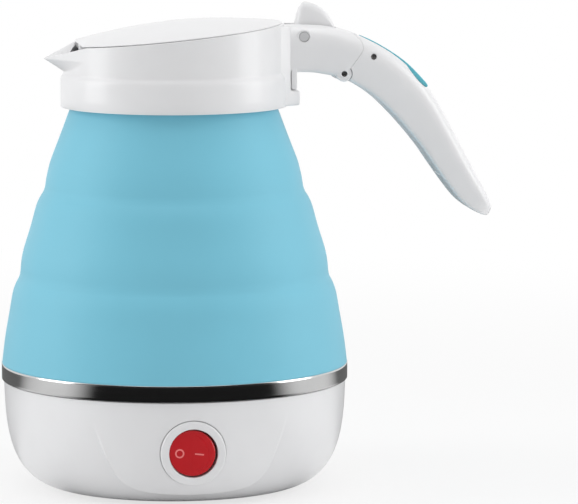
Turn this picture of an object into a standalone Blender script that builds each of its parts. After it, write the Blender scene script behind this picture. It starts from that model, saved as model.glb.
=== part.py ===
"""Collapsible travel kettle with a folding handle, built as separate pieces.

Metres, +Z up. The origin lies on the table, under the kettle's axis. The handle points along +X,
the spout along -X, the switch along -Y and the power inlet along +Y.
"""
import math

import bmesh
import bpy
from mathutils import Matrix, Vector

# Fits and facets shared by the whole kettle
GAP = 0.0003
OVERRUN = 0.002
BORE_CLEARANCE = 0.0003
ROUND_SIDES = 40
INNER_SIDES = 24
SMALL_SIDES = 16
PIN_SIDES = 12
SHARP_ANGLE = math.radians(35)

# Base shell, a bowl whose side curves in under itself
FOOT_STAND = 0.0012
BASE_RIM_INSET = 0.0183
BASE_TOP_RADIUS = 0.0647
BASE_RIM_RADIUS = BASE_TOP_RADIUS - BASE_RIM_INSET
BASE_HEIGHT = 0.0394
BASE_WALL = 0.0022
BASE_CURVE_SHARES = (
    (0.0, 0.0), (0.219, 0.023), (0.464, 0.094), (0.689, 0.218), (0.863, 0.411), (0.973, 0.726), (1.0, 1.0))
RIM_LAND = 0.0018
LEDGE_WIDTH = 0.0055
LEDGE_THICKNESS = 0.0022
SEAL_SHELF_WIDTH = 0.0022
SEAL_SHELF_THICKNESS = 0.0020
SEAL_LIP = 0.0011
SEAL_HEIGHT = 0.0017
BOSS_RADIUS = 0.0026
BOSS_HEIGHT = 0.0060

# Proud face round the switch
PANEL_HALF_ANGLE = math.radians(33.6)
PANEL_CORNER_SHARE = 0.19
PANEL_BOTTOM_HEIGHT = 0.0070
PANEL_HEIGHT = 0.0290
PANEL_LOW_INSET = 0.0020
PANEL_TOP_INSET = 0.0005
PANEL_LOW_RADIUS = BASE_TOP_RADIUS - PANEL_LOW_INSET
PANEL_TOP_RADIUS = BASE_TOP_RADIUS - PANEL_TOP_INSET
PANEL_HEIGHT_SHARES = (0.0, 0.02, 0.08, 0.2, 0.45, 0.75, 1.0)
PANEL_COLUMNS = 14

# Bottom cover, feet and screws
COVER_THICKNESS = 0.0020
PAD_RADIUS = 0.0060
FOOT_RADIUS = 0.0050
FOOT_SEAT_DEPTH = 0.0008
FOOT_CHAMFER = 0.0006
FOOT_INSET = 0.0134
FOOT_CIRCLE_RADIUS = BASE_RIM_RADIUS - FOOT_INSET
FOOT_COUNT = 4
BASE_SCREW_COUNT = 3
SCREW_SHANK_RADIUS = 0.0012
SCREW_HEAD_RADIUS = 0.0026
SCREW_HEAD_HEIGHT = 0.0009
BASE_SCREW_LENGTH = 0.0065

# Trim band, heating pan and heater
BAND_STEP = 0.0008
BAND_RADIUS = BASE_TOP_RADIUS + BAND_STEP
BAND_THICKNESS = 0.0005
BAND_HEIGHT = 0.0060
BAND_CROWN_SHARE = 0.2
PAN_INSET = 0.0087
PAN_RADIUS = BASE_TOP_RADIUS - PAN_INSET
PAN_SHEET = 0.0008
PAN_CLEARANCE = 0.0012
PAN_CORNER = 0.0020
SPREADER_INSET = 0.0180
SPREADER_RADIUS = PAN_RADIUS - SPREADER_INSET
SPREADER_THICKNESS = 0.0027
ELEMENT_INSET = 0.0110
ELEMENT_RING_RADIUS = SPREADER_RADIUS - ELEMENT_INSET
ELEMENT_TUBE_RADIUS = 0.0030
ELEMENT_OPEN_ANGLE = math.radians(60)
ELEMENT_TAIL = 0.0070
ELEMENT_BEND_RADIUS = 0.0060
THERMOSTAT_RADIUS = 0.0085
THERMOSTAT_HEIGHT = 0.0065
THERMOSTAT_HUB_RADIUS = 0.0040
THERMOSTAT_HUB_HEIGHT = 0.0025
FUSE_RADIUS = 0.0020
FUSE_LENGTH = 0.0110
FUSE_OFFSET = 0.0150
LEAD_RADIUS = 0.0011
LEAD_STUB = 0.0030
LEAD_SIDE = 0.0190
LEAD_REACH = 0.0130
LEAD_BEND = 0.0090
LEAD_STEPS = 3

# Silicone body: three tiers that slide into each other
SILICONE_WALL = 0.0020
LOWER_FOOT_INSET = 0.0001
LOWER_TAPER = 0.0044
LOWER_FOOT_RADIUS = BAND_RADIUS - LOWER_FOOT_INSET
LOWER_SHOULDER_RADIUS = LOWER_FOOT_RADIUS - LOWER_TAPER
LOWER_TIER_HEIGHT = 0.0277
LOWER_LIP_WIDTH = 0.0045
LOWER_CURVE_SHARES = ((0.0, 0.0), (0.33, 0.27), (0.66, 0.64), (1.0, 1.0))
MIDDLE_STEP = 0.0016
MIDDLE_TAPER = 0.0094
MIDDLE_FOOT_RADIUS = LOWER_SHOULDER_RADIUS - MIDDLE_STEP
MIDDLE_SHOULDER_RADIUS = MIDDLE_FOOT_RADIUS - MIDDLE_TAPER
MIDDLE_TIER_HEIGHT = 0.0353
MIDDLE_CURVE_SHARES = (
    (0.0, 0.0), (0.156, 0.117), (0.33, 0.18), (0.674, 0.564), (0.847, 0.723), (0.93, 0.894), (1.0, 1.0))
UPPER_STEP = 0.0015
UPPER_TAPER = 0.0097
UPPER_FOOT_RADIUS = MIDDLE_SHOULDER_RADIUS - UPPER_STEP
UPPER_NECK_RADIUS = UPPER_FOOT_RADIUS - UPPER_TAPER
UPPER_TIER_HEIGHT = 0.0330
UPPER_CURVE_SHARES = ((0.0, 0.0), (0.194, 0.03), (0.379, 0.196), (0.745, 0.68), (1.0, 1.0))
NECK_LIP_HEIGHT = 0.0057
CLAMP_WALL = 0.0020

# Collar with its spout
COLLAR_WALL = 0.0024
COLLAR_BAND_STEP = 0.0012
COLLAR_BORE = UPPER_NECK_RADIUS + GAP
COLLAR_RADIUS = COLLAR_BORE + COLLAR_WALL
COLLAR_BAND_RADIUS = COLLAR_RADIUS + COLLAR_BAND_STEP
COLLAR_BAND_HEIGHT = 0.0107
COLLAR_COVE = 0.0006
COLLAR_HEIGHT = 0.0271
COLLAR_EDGE = 0.0005
RIM_SLOPE = 0.1
SPOUT_LENGTH = 0.0080
SPOUT_REACH = COLLAR_RADIUS + SPOUT_LENGTH
SPOUT_TIP_HEIGHT = 0.0183
SPOUT_START_HEIGHT = 0.0130
SPOUT_FLOOR = 0.0022
COLLAR_LEVEL_SHARES = (0.35, 0.7, 1.0)

# Pad behind the collar that carries the handle bracket
REAR_PAD_DEPTH = 0.0016
REAR_PAD_REACH = COLLAR_RADIUS + REAR_PAD_DEPTH
REAR_PAD_TOP_HEIGHT = 0.0280
REAR_FOOT_DEPTH = 0.0051
REAR_FOOT_REACH = COLLAR_RADIUS + REAR_FOOT_DEPTH
REAR_FOOT_HEIGHT = 0.0062
REAR_FOOT_CHAMFER = 0.0008

# Lid, hinge pin and thumb fin
LID_INSET = 0.0007
LID_RADIUS = COLLAR_RADIUS - LID_INSET
LID_EDGE = 0.0004
LID_DOME = 0.0046
LID_PLATE = 0.0020
LID_FRONT_CUT = 0.0048
LID_FRONT = LID_RADIUS - LID_FRONT_CUT
LID_SKIRT_DEPTH = 0.0040
LID_SKIRT_WALL = 0.0018
LID_SEAL_WIDTH = 0.0016
LID_SEAL_CLEARANCE = 0.0010
LID_SEAL_HEIGHT = 0.0018
LID_DOME_SHARES = (0.0, 0.35, 0.65, 0.88, 1.0)
HINGE_DISTANCE = 0.0067
HINGE_REACH = COLLAR_RADIUS + HINGE_DISTANCE
HINGE_HEIGHT = 0.0262
HINGE_PIN_RADIUS = 0.0019
HINGE_HUB_RADIUS = 0.0040
FIN_RADIUS = 0.0129
FIN_THICKNESS = 0.0080
FIN_START_ANGLE = math.radians(12)
FIN_END_ANGLE = math.radians(84)
FIN_ARC_POINTS = 9
FIN_BACK_SHARE = 0.78
TONGUE_DEPTH = 0.0036
TONGUE_ROOT = COLLAR_BORE - TONGUE_DEPTH
TONGUE_THICKNESS = 0.0032
LID_OPENING = math.radians(70)

# Handle bracket, in plan 21 mm wide
BRACKET_WIDTH = 0.0210
BRACKET_CHAMFER = 0.0012
BRACKET_PLATE = 0.0021
BRACKET_TOP_HEIGHT = 0.0311
BRACKET_BOTTOM_HEIGHT = 0.0127
FOLD_DISTANCE = 0.0152
FOLD_REACH = HINGE_REACH + FOLD_DISTANCE
FOLD_HEIGHT = 0.0122
FOLD_PIN_RADIUS = 0.0013
FOLD_PIN_RECESS = 0.0012
KNUCKLE_RADIUS = 0.0030
LUG_RADIUS = 0.0027
LUG_WIDTH = 0.0100
LUG_ARM = 0.0060
LUG_FLOOR_SHARE = 0.94
PART_LINE_SHARES = ((1.0, 0.782), (0.913, 0.961), (0.706, 1.0), (0.529, 0.872), (0.22, 0.60))
PART_LINE_REACH = 0.0075
PART_LINE_HEIGHT = 0.0150
PART_LINE_TOP_SHARE = 0.60
BRACKET_CREST_SHARE = 0.4
BRACKET_FOOT_SHARE = 0.6
BRACKET_SCREW_SPREAD = 0.0144
BRACKET_SCREW_HEIGHT = 0.0165
BRACKET_SCREW_LENGTH = 0.0110

# Grip, its inner cover, release lever and their pins
GRIP_WIDTH = 0.0210
GRIP_REACH = 0.0580
GRIP_HEIGHT = 0.0550
GRIP_STATION_SHARES = (
    (0.060, -0.250, -0.017, 0.018, 1.0), (0.183, -0.204, 0.052, 0.069, 1.0),
    (0.312, -0.131, 0.143, 0.118, 1.0), (0.433, -0.029, 0.236, 0.193, 1.0),
    (0.536, 0.084, 0.329, 0.289, 1.0), (0.640, 0.220, 0.422, 0.398, 1.0),
    (0.743, 0.420, 0.536, 0.551, 1.0), (0.847, 0.624, 0.655, 0.731, 1.0),
    (0.941, 0.809, 0.760, 0.875, 0.96), (0.986, 0.909, 0.838, 0.944, 0.86),
    (1.000, 0.964, 0.916, 0.984, 0.62))
GRIP_ROUNDNESS = 3.0
GRIP_RING_SIDES = 16
GRIP_WALL = 0.0030
GRIP_ROOF = 0.0055
CAVITY_FIRST_STATION = 3
CAVITY_LAST_STATION = 8
GRIP_COVER_THICKNESS = 0.0016
GRIP_COVER_INSET = 0.0006
LEVER_WIDTH = 0.0090
LEVER_PIN_REACH = 0.0112
LEVER_PIN_RISE = 0.0063
LEVER_PIN_RADIUS = 0.0013
LEVER_HUB_RADIUS = 0.0025
LEVER_REACH = 0.0216
LEVER_HEIGHT = 0.0113
LEVER_TRAVEL = math.radians(4)
LEVER_OUTLINE_SHARES = (
    (-0.148, -0.69), (0.148, -0.40), (0.398, -0.115), (0.648, 0.283), (0.898, 0.796), (0.99, 0.95),
    (1.0, 1.01), (0.975, 1.07), (0.93, 1.06), (0.80, 0.80), (0.62, 0.48), (0.39, 0.13), (0.18, -0.08))
LEVER_NOSE_SHARES = ((-0.13, -0.05), (-0.16, -0.34), (-0.235, -0.40), (-0.235, -0.52), (-0.16, -0.56))
NOSE_POCKET_DEPTH = 0.0012
NOSE_POCKET_HEIGHT = 0.0044
SPRING_REACH = 0.0070
SPRING_RADIUS = 0.0020
SPRING_WIRE = 0.0007
SPRING_HEIGHT = 0.0042

# Switch in the panel
SWITCH_HEIGHT = 0.0219
SWITCH_SEAT_DEPTH = 0.0014
BEZEL_RADIUS = 0.0120
BEZEL_PROUD = 0.0023
BEZEL_ROUND = 0.0006
BARREL_RADIUS = 0.0098
BARREL_DEPTH = 0.0060
ROCKER_RADIUS = 0.0082
ROCKER_BORE = 0.0089
ROCKER_DEPTH = 0.0062
ROCKER_DISH = 0.0012
ROCKER_PIVOT_DEPTH = 0.0048
ROCKER_TILT = math.radians(7)
HOUSING_DEPTH = 0.0110
HOUSING_CAVITY_DEPTH = 0.0040
SWITCH_TAB_LENGTH = 0.0060
SWITCH_TAB_WIDTH = 0.0040
SWITCH_TAB_THICKNESS = 0.0008
SWITCH_TAB_SPREAD = 0.0080

# Power inlet at the back
INLET_HEIGHT = 0.0222
INLET_INSET = 0.0028
INLET_FACE = BASE_TOP_RADIUS - INLET_INSET
INLET_FLANGE_WIDTH = 0.0290
INLET_FLANGE_HEIGHT = 0.0210
INLET_FLANGE_THICKNESS = 0.0020
INLET_BODY_WIDTH = 0.0260
INLET_BODY_HEIGHT = 0.0180
INLET_BODY_DEPTH = 0.0170
SOCKET_WIDTH = 0.0225
SOCKET_HEIGHT = 0.0145
SOCKET_DEPTH = 0.0150
INLET_PIN_WIDTH = 0.0020
INLET_PIN_HEIGHT = 0.0040
INLET_PIN_LENGTH = 0.0095
INLET_PIN_TAIL = 0.0070
INLET_PIN_SPREAD = 0.0070
INLET_PIN_RAISE = 0.0020

# Heights that follow from the sizes above, from the table upwards
BASE_TOP = FOOT_STAND + BASE_HEIGHT
COVER_TOP = FOOT_STAND + COVER_THICKNESS
LEDGE_BOTTOM = COVER_TOP + GAP
LEDGE_TOP = LEDGE_BOTTOM + LEDGE_THICKNESS
BAND_BOTTOM = BASE_TOP + GAP
BAND_TOP = BAND_BOTTOM + BAND_HEIGHT
BAND_BORE = BAND_RADIUS - BAND_THICKNESS
FLANGE_BOTTOM = BASE_TOP + GAP
FLANGE_TOP = FLANGE_BOTTOM + PAN_SHEET
HOUSING_TOP = max(SWITCH_HEIGHT + BARREL_RADIUS, INLET_HEIGHT + INLET_BODY_HEIGHT / 2)
PAN_UNDERSIDE = HOUSING_TOP + PAN_CLEARANCE
SPREADER_TOP = PAN_UNDERSIDE - GAP
HEATER_TOP = SPREADER_TOP - SPREADER_THICKNESS - GAP
LOWER_TIER_BOTTOM = BAND_TOP + GAP
LOWER_TIER_TOP = LOWER_TIER_BOTTOM + LOWER_TIER_HEIGHT
MIDDLE_TIER_BOTTOM = LOWER_TIER_TOP + GAP
MIDDLE_TIER_TOP = MIDDLE_TIER_BOTTOM + MIDDLE_TIER_HEIGHT
UPPER_TIER_BOTTOM = MIDDLE_TIER_TOP + GAP
COLLAR_BOTTOM = UPPER_TIER_BOTTOM + UPPER_TIER_HEIGHT
RIM_HEIGHT = COLLAR_BOTTOM + COLLAR_HEIGHT
LID_SEAT = RIM_HEIGHT + GAP
HINGE = Vector((HINGE_REACH, 0.0, COLLAR_BOTTOM + HINGE_HEIGHT))
FOLD = Vector((FOLD_REACH, 0.0, COLLAR_BOTTOM + FOLD_HEIGHT))
LEVER_PIN = FOLD + Vector((LEVER_PIN_REACH, 0.0, LEVER_PIN_RISE))
BRACKET_FRONT = REAR_PAD_REACH + GAP
BASE_SCREW_CIRCLE = BASE_RIM_RADIUS - RIM_LAND - LEDGE_WIDTH / 2


def clear_scene():
    """Remove every object, so that the script can run again in an open file."""
    for old in list(bpy.data.objects):
        bpy.data.objects.remove(old, do_unlink=True)


def plastic(name, colour, roughness, metallic=0.0):
    """A Principled material in one colour."""
    material = bpy.data.materials.new(name)
    material.use_nodes = True
    shader = material.node_tree.nodes["Principled BSDF"]
    shader.inputs["Base Color"].default_value = (*colour, 1.0)
    shader.inputs["Roughness"].default_value = roughness
    shader.inputs["Metallic"].default_value = metallic
    material.diffuse_color = (*colour, 1.0)
    return material


def placed(name, body, material, parent=None):
    """Turn a bmesh into a named object, shaded smooth with its sharp edges kept."""
    bmesh.ops.remove_doubles(body, verts=body.verts, dist=0.000001)
    bmesh.ops.recalc_face_normals(body, faces=body.faces)
    mesh = bpy.data.meshes.new(name)
    body.to_mesh(mesh)
    body.free()
    mesh.shade_smooth()
    mesh.set_sharp_from_angle(angle=SHARP_ANGLE)
    shape = bpy.data.objects.new(name, mesh)
    bpy.context.collection.objects.link(shape)
    if material:
        mesh.materials.append(material)
    if parent:
        shape.parent = parent
        shape.matrix_parent_inverse = Matrix.Translation(parent.location).inverted()
    return shape


def carrier(name, place):
    """An empty on a joint's axis, which the pieces that move with the joint hang from."""
    empty = bpy.data.objects.new(name, None)
    empty.location = place
    bpy.context.collection.objects.link(empty)
    return empty


def cutter(name, body):
    """A hidden tool for a Boolean modifier."""
    tool = placed(name, body, None)
    tool.hide_render = True
    tool.display_type = 'WIRE'
    return tool


def combine(shape, tool, operation):
    """Add an exact Boolean modifier to a piece."""
    modifier = shape.modifiers.new(tool.name, 'BOOLEAN')
    modifier.operation = operation
    modifier.solver = 'EXACT'
    modifier.object = tool


def loft(rings, closed=False):
    """Join rings of equal point counts with quads. A closed loft has no caps."""
    body = bmesh.new()
    loops = [[body.verts.new(point) for point in ring] for ring in rings]
    pairs = list(zip(loops, loops[1:]))
    if closed:
        pairs.append((loops[-1], loops[0]))
    for lower, upper in pairs:
        count = len(lower)
        for index in range(count):
            after = (index + 1) % count
            body.faces.new((lower[index], lower[after], upper[after], upper[index]))
    if not closed:
        body.faces.new(list(reversed(loops[0])))
        body.faces.new(loops[-1])
    return body


def turned(profile, sides):
    """Turn (radius, height) points about Z. Points on the axis become poles, others close to a ring."""
    body = bmesh.new()
    loops = []
    for radius, height in profile:
        if radius == 0:
            loops.append([body.verts.new((0, 0, height))])
        else:
            turns = [math.tau * index / sides for index in range(sides)]
            loops.append([
                body.verts.new((radius * math.cos(turn), radius * math.sin(turn), height))
                for turn in turns])
    on_axis = profile[0][0] == 0
    pairs = list(zip(loops, loops[1:])) if on_axis else list(zip(loops, loops[1:] + loops[:1]))
    for lower, upper in pairs:
        for index in range(sides):
            after = (index + 1) % sides
            corners = [lower[index % len(lower)], lower[after % len(lower)],
                       upper[after % len(upper)], upper[index % len(upper)]]
            body.faces.new(list(dict.fromkeys(corners)))
    return body


def cylinder(radius, bottom, top, sides):
    """A plain cylinder about Z."""
    return turned([(0, bottom), (radius, bottom), (radius, top), (0, top)], sides)


def box(low, high):
    """A box between two corners."""
    corners = [(low[0], low[1]), (high[0], low[1]), (high[0], high[1]), (low[0], high[1])]
    return loft([[(x, y, height) for x, y in corners] for height in (low[2], high[2])])


def moved(body, place, turn=None):
    """Turn a bmesh about the origin and carry it to a place."""
    matrix = Matrix.Translation(place)
    if turn:
        matrix = matrix @ turn
    bmesh.ops.transform(body, matrix=matrix, verts=body.verts)
    return body


def inset_outline(points, distance):
    """Move each corner of a counter-clockwise outline inwards by a distance along its mitre."""
    count = len(points)
    inset = []
    for index, point in enumerate(points):
        before = Vector(point) - Vector(points[index - 1])
        after = Vector(points[(index + 1) % count]) - Vector(point)
        normals = [Vector((-edge.y, edge.x)).normalized() for edge in (before, after)]
        mitre = (normals[0] + normals[1]).normalized()
        reach = distance / max(mitre.dot(normals[0]), 0.5)
        inset.append(tuple(Vector(point) + mitre * reach))
    return inset


def anticlockwise(outline):
    """The outline's points in anticlockwise order."""
    area = sum(a[0] * b[1] - b[0] * a[1] for a, b in zip(outline, outline[1:] + outline[:1]))
    return list(outline) if area > 0 else list(reversed(outline))


def slab(outline, width, chamfer=0.0):
    """Extrude an outline in the XZ plane to a width along Y, with chamfered long edges."""
    points = anticlockwise(outline)
    half = width / 2
    levels = [(-half, 0.0), (half, 0.0)]
    if chamfer:
        levels = [(-half, chamfer), (-half + chamfer, 0.0), (half - chamfer, 0.0), (half, chamfer)]
    rings = []
    for across, inset in levels:
        ring = inset_outline(points, inset) if inset else points
        rings.append([(x, across, z) for x, z in ring])
    return loft(rings)


def arc(centre, radius, start, end, count):
    """Points on an arc in the XZ plane, from one angle to the other."""
    turns = [start + (end - start) * index / (count - 1) for index in range(count)]
    return [(centre[0] + radius * math.cos(turn), centre[1] + radius * math.sin(turn)) for turn in turns]


def curve_points(foot_radius, top_radius, bottom, top, shares):
    """A side's points, whose shares run along its height and its change of radius."""
    return [
        (foot_radius + (top_radius - foot_radius) * across, bottom + (top - bottom) * up)
        for up, across in shares]


def every_other(points):
    """A plainer copy of a side for its hidden inner face, with the same two ends."""
    return points[:-1:2] + points[-1:]


def pin_along_y(name, place, radius, width, material, parent):
    """A plain round pin across the handle."""
    body = cylinder(radius, -width / 2, width / 2, PIN_SIDES)
    moved(body, place, Matrix.Rotation(math.radians(90), 4, 'X'))
    return placed(name, body, material, parent)


def bore_along_y(name, place, radius, width):
    """The cutter for a bore across the handle."""
    body = cylinder(radius, -width / 2, width / 2, PIN_SIDES)
    moved(body, place, Matrix.Rotation(math.radians(90), 4, 'X'))
    return cutter(name, body)


def screw(name, length, material, place, turn, parent=None):
    """A screw whose head's outer face is at its place and whose shank runs along its +Z."""
    profile = [
        (0, 0), (SCREW_HEAD_RADIUS, 0), (SCREW_HEAD_RADIUS, SCREW_HEAD_HEIGHT),
        (SCREW_SHANK_RADIUS, SCREW_HEAD_HEIGHT), (SCREW_SHANK_RADIUS, length), (0, length)]
    return placed(name, moved(turned(profile, PIN_SIDES), place, turn), material, parent)


def screw_bore(name, length, place, turn):
    """The counterbore and hole for a screw, which run past its head."""
    head = SCREW_HEAD_RADIUS + BORE_CLEARANCE
    shank = SCREW_SHANK_RADIUS + BORE_CLEARANCE
    depth = SCREW_HEAD_HEIGHT + BORE_CLEARANCE
    profile = [
        (0, -OVERRUN), (head, -OVERRUN), (head, depth), (shank, depth), (shank, length + GAP), (0, length + GAP)]
    return cutter(name, moved(turned(profile, PIN_SIDES), place, turn))


def base_outer_points():
    """The base's side, from its lower rim to its top edge."""
    shares = [(up, across) for across, up in BASE_CURVE_SHARES]
    return curve_points(BASE_RIM_RADIUS, BASE_TOP_RADIUS, FOOT_STAND, BASE_TOP, shares)


def base_radius_at(height):
    """The base's outer radius at a height, read along its side."""
    points = base_outer_points()
    for (r0, z0), (r1, z1) in zip(points, points[1:]):
        if z0 <= height <= z1:
            return r0 + (r1 - r0) * (height - z0) / (z1 - z0)
    return points[-1][0]


def panel_body():
    """The proud face, a curved slab whose width narrows to its rounded lower corners."""
    rings = []
    for share in PANEL_HEIGHT_SHARES:
        height = PANEL_BOTTOM_HEIGHT + PANEL_HEIGHT * share
        outer = PANEL_LOW_RADIUS + (PANEL_TOP_RADIUS - PANEL_LOW_RADIUS) * share
        inner = base_radius_at(height) - BASE_WALL / 2
        narrowing = max(share, PANEL_HEIGHT_SHARES[1] / 2) ** PANEL_CORNER_SHARE
        half = PANEL_HALF_ANGLE * narrowing
        turns = [half * (2 * index / PANEL_COLUMNS - 1) for index in range(PANEL_COLUMNS + 1)]
        ring = [(outer * math.sin(turn), -outer * math.cos(turn), height) for turn in turns]
        ring += [(inner * math.sin(turn), -inner * math.cos(turn), height) for turn in reversed(turns)]
        rings.append(ring)
    return loft(rings)


def around(count, first=0.0):
    """Evenly spaced angles about the axis."""
    return [first + math.tau * index / count for index in range(count)]


def on_circle(radius, turn, height):
    """A point at an angle about the axis."""
    return Vector((radius * math.cos(turn), radius * math.sin(turn), height))


def make_base_shell(white):
    """The white bowl with its ledge, seal shelf, proud face, screw bosses and cut-outs."""
    shelf_bore = BASE_TOP_RADIUS - BASE_WALL - SEAL_SHELF_WIDTH
    shelf_top = BASE_TOP - SEAL_HEIGHT - GAP
    shelf_bottom = shelf_top - SEAL_SHELF_THICKNESS
    inner_top = BASE_TOP_RADIUS - BASE_WALL
    inner_start = BASE_RIM_RADIUS + BASE_WALL
    cover_bore = BASE_RIM_RADIUS - RIM_LAND
    shares = [(up, across) for across, up in BASE_CURVE_SHARES]
    inner = every_other(curve_points(inner_start, inner_top, LEDGE_TOP, shelf_bottom - BASE_WALL, shares))
    profile = base_outer_points()
    profile += [(BASE_TOP_RADIUS - SEAL_LIP, BASE_TOP), (BASE_TOP_RADIUS - SEAL_LIP, shelf_top)]
    profile += [(shelf_bore, shelf_top), (shelf_bore, shelf_bottom)]
    profile += list(reversed(inner))
    profile += [(cover_bore - LEDGE_WIDTH, LEDGE_TOP), (cover_bore - LEDGE_WIDTH, LEDGE_BOTTOM)]
    profile += [(cover_bore, LEDGE_BOTTOM), (cover_bore, FOOT_STAND)]
    shell = placed("base_shell", turned(profile, ROUND_SIDES), white)
    combine(shell, cutter("panel_form", panel_body()), 'UNION')
    boss_bottom = LEDGE_BOTTOM + LEDGE_THICKNESS / 2
    for number, turn in enumerate(around(BASE_SCREW_COUNT), 1):
        boss = cylinder(BOSS_RADIUS, boss_bottom, LEDGE_TOP + BOSS_HEIGHT, PIN_SIDES)
        moved(boss, on_circle(BASE_SCREW_CIRCLE, turn, 0))
        combine(shell, cutter(f"boss_form_{number}", boss), 'UNION')
        bore = screw_bore(
            f"shell_screw_bore_{number}", BASE_SCREW_LENGTH,
            on_circle(BASE_SCREW_CIRCLE, turn, FOOT_STAND), None)
        combine(shell, bore, 'DIFFERENCE')
    facing = Matrix.Rotation(math.radians(90), 4, 'X')
    seat = switch_seat()
    front = PANEL_TOP_RADIUS + OVERRUN
    hole_radius = BARREL_RADIUS + BORE_CLEARANCE
    back = seat - BARREL_DEPTH
    room = turned([
        (0, back), (hole_radius, back), (hole_radius, seat), (BEZEL_RADIUS + GAP, seat),
        (BEZEL_RADIUS + GAP, front), (0, front)], INNER_SIDES)
    moved(room, (0, 0, SWITCH_HEIGHT), facing)
    combine(shell, cutter("switch_room_cutter", room), 'DIFFERENCE')
    combine(shell, inlet_cutter(
        "inlet_seat_cutter", INLET_FLANGE_WIDTH, INLET_FLANGE_HEIGHT, INLET_FACE - INLET_FLANGE_THICKNESS - GAP),
        'DIFFERENCE')
    combine(shell, inlet_cutter(
        "inlet_hole_cutter", INLET_BODY_WIDTH, INLET_BODY_HEIGHT, INLET_FACE - INLET_BODY_DEPTH), 'DIFFERENCE')
    return shell


def inlet_cutter(name, width, height, depth):
    """A box that opens the base's back for one width and height of the power inlet."""
    half = width / 2 + GAP
    rise = height / 2 + GAP
    low = (-half, depth, INLET_HEIGHT - rise)
    high = (half, BASE_TOP_RADIUS + OVERRUN, INLET_HEIGHT + rise)
    return cutter(name, box(low, high))


def switch_seat():
    """How far the flat seat of the switch lies in front of the axis."""
    share = (SWITCH_HEIGHT - PANEL_BOTTOM_HEIGHT) / PANEL_HEIGHT
    face = PANEL_LOW_RADIUS + (PANEL_TOP_RADIUS - PANEL_LOW_RADIUS) * share
    return face - SWITCH_SEAT_DEPTH


def make_bottom(white, rubber, steel):
    """The bottom cover with its central pad, the feet and the cover's screws."""
    edge = BASE_RIM_RADIUS - RIM_LAND - GAP
    profile = [
        (0, 0), (PAD_RADIUS, 0), (PAD_RADIUS + FOOT_STAND, FOOT_STAND), (edge, FOOT_STAND),
        (edge, COVER_TOP), (0, COVER_TOP)]
    cover = placed("base_bottom_cover", turned(profile, ROUND_SIDES), white)
    for number, turn in enumerate(around(FOOT_COUNT, math.radians(45)), 1):
        place = on_circle(FOOT_CIRCLE_RADIUS, turn, 0)
        top = FOOT_STAND + FOOT_SEAT_DEPTH
        foot = turned([
            (0, 0), (FOOT_RADIUS - FOOT_CHAMFER, 0), (FOOT_RADIUS, FOOT_CHAMFER), (FOOT_RADIUS, top), (0, top)],
            SMALL_SIDES)
        placed(f"foot_{number}", moved(foot, place), rubber)
        recess = cylinder(FOOT_RADIUS + GAP, -OVERRUN, top + GAP, SMALL_SIDES)
        combine(cover, cutter(f"foot_recess_{number}", moved(recess, place)), 'DIFFERENCE')
    for number, turn in enumerate(around(BASE_SCREW_COUNT), 1):
        place = on_circle(BASE_SCREW_CIRCLE, turn, FOOT_STAND)
        screw(f"base_screw_{number}", BASE_SCREW_LENGTH, steel, place, None)
        bore = screw_bore(f"cover_screw_bore_{number}", BASE_SCREW_LENGTH, place, None)
        combine(cover, bore, 'DIFFERENCE')


def make_band(chrome):
    """The bright band between base and silicone, slightly crowned."""
    middle = (BAND_BOTTOM + BAND_TOP) / 2
    crown = BAND_THICKNESS * BAND_CROWN_SHARE
    profile = [
        (BAND_RADIUS - crown, BAND_BOTTOM), (BAND_RADIUS, middle), (BAND_RADIUS - crown, BAND_TOP),
        (BAND_BORE, BAND_TOP), (BAND_BORE, BAND_BOTTOM)]
    placed("trim_band", turned(profile, ROUND_SIDES), chrome)


def make_pan(steel, seal_rubber, aluminium):
    """The heating pan, its seal and the heat spreader under it."""
    flange = BAND_BORE - GAP
    floor = PAN_UNDERSIDE + PAN_SHEET
    bore = PAN_RADIUS - PAN_SHEET
    profile = [
        (0, PAN_UNDERSIDE), (PAN_RADIUS - PAN_CORNER, PAN_UNDERSIDE), (PAN_RADIUS, PAN_UNDERSIDE + PAN_CORNER),
        (PAN_RADIUS, FLANGE_BOTTOM), (flange, FLANGE_BOTTOM), (flange, FLANGE_TOP), (bore, FLANGE_TOP),
        (bore, floor + PAN_CORNER - PAN_SHEET), (bore - PAN_CORNER + PAN_SHEET, floor), (0, floor)]
    placed("heating_pan", turned(profile, ROUND_SIDES), steel)
    inner = BASE_TOP_RADIUS - BASE_WALL - SEAL_SHELF_WIDTH + GAP
    outer = BASE_TOP_RADIUS - SEAL_LIP - GAP
    bottom = BASE_TOP - SEAL_HEIGHT
    placed("pan_seal", turned(
        [(inner, bottom), (outer, bottom), (outer, BASE_TOP), (inner, BASE_TOP)], INNER_SIDES), seal_rubber)
    under = SPREADER_TOP - SPREADER_THICKNESS
    placed("heat_spreader", cylinder(SPREADER_RADIUS, under, SPREADER_TOP, INNER_SIDES), aluminium)


def smooth_route(points, steps):
    """A smooth curve through points, with a few steps on each stretch."""
    anchors = [Vector(point) for point in points]
    padded = [anchors[0] * 2 - anchors[1]] + anchors + [anchors[-1] * 2 - anchors[-2]]
    route = []
    for index in range(1, len(padded) - 2):
        a, b, c, d = padded[index - 1:index + 3]
        for step in range(steps):
            t = step / steps
            route.append(
                (b * 2 + (c - a) * t + (a * 2 - b * 5 + c * 4 - d) * t ** 2
                 + (b * 3 - a - c * 3 + d) * t ** 3) / 2)
    route.append(anchors[-1])
    return route


def tube(name, route, radius, material):
    """A round tube along a route, with closed ends."""
    data = bpy.data.curves.new(name, 'CURVE')
    data.dimensions = '3D'
    data.bevel_depth = radius
    data.bevel_resolution = 1
    data.use_fill_caps = True
    spline = data.splines.new('POLY')
    spline.points.add(len(route) - 1)
    for knot, point in zip(spline.points, route):
        knot.co = (*point, 1.0)
    data.materials.append(material)
    shape = bpy.data.objects.new(name, data)
    bpy.context.collection.objects.link(shape)
    return shape


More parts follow.
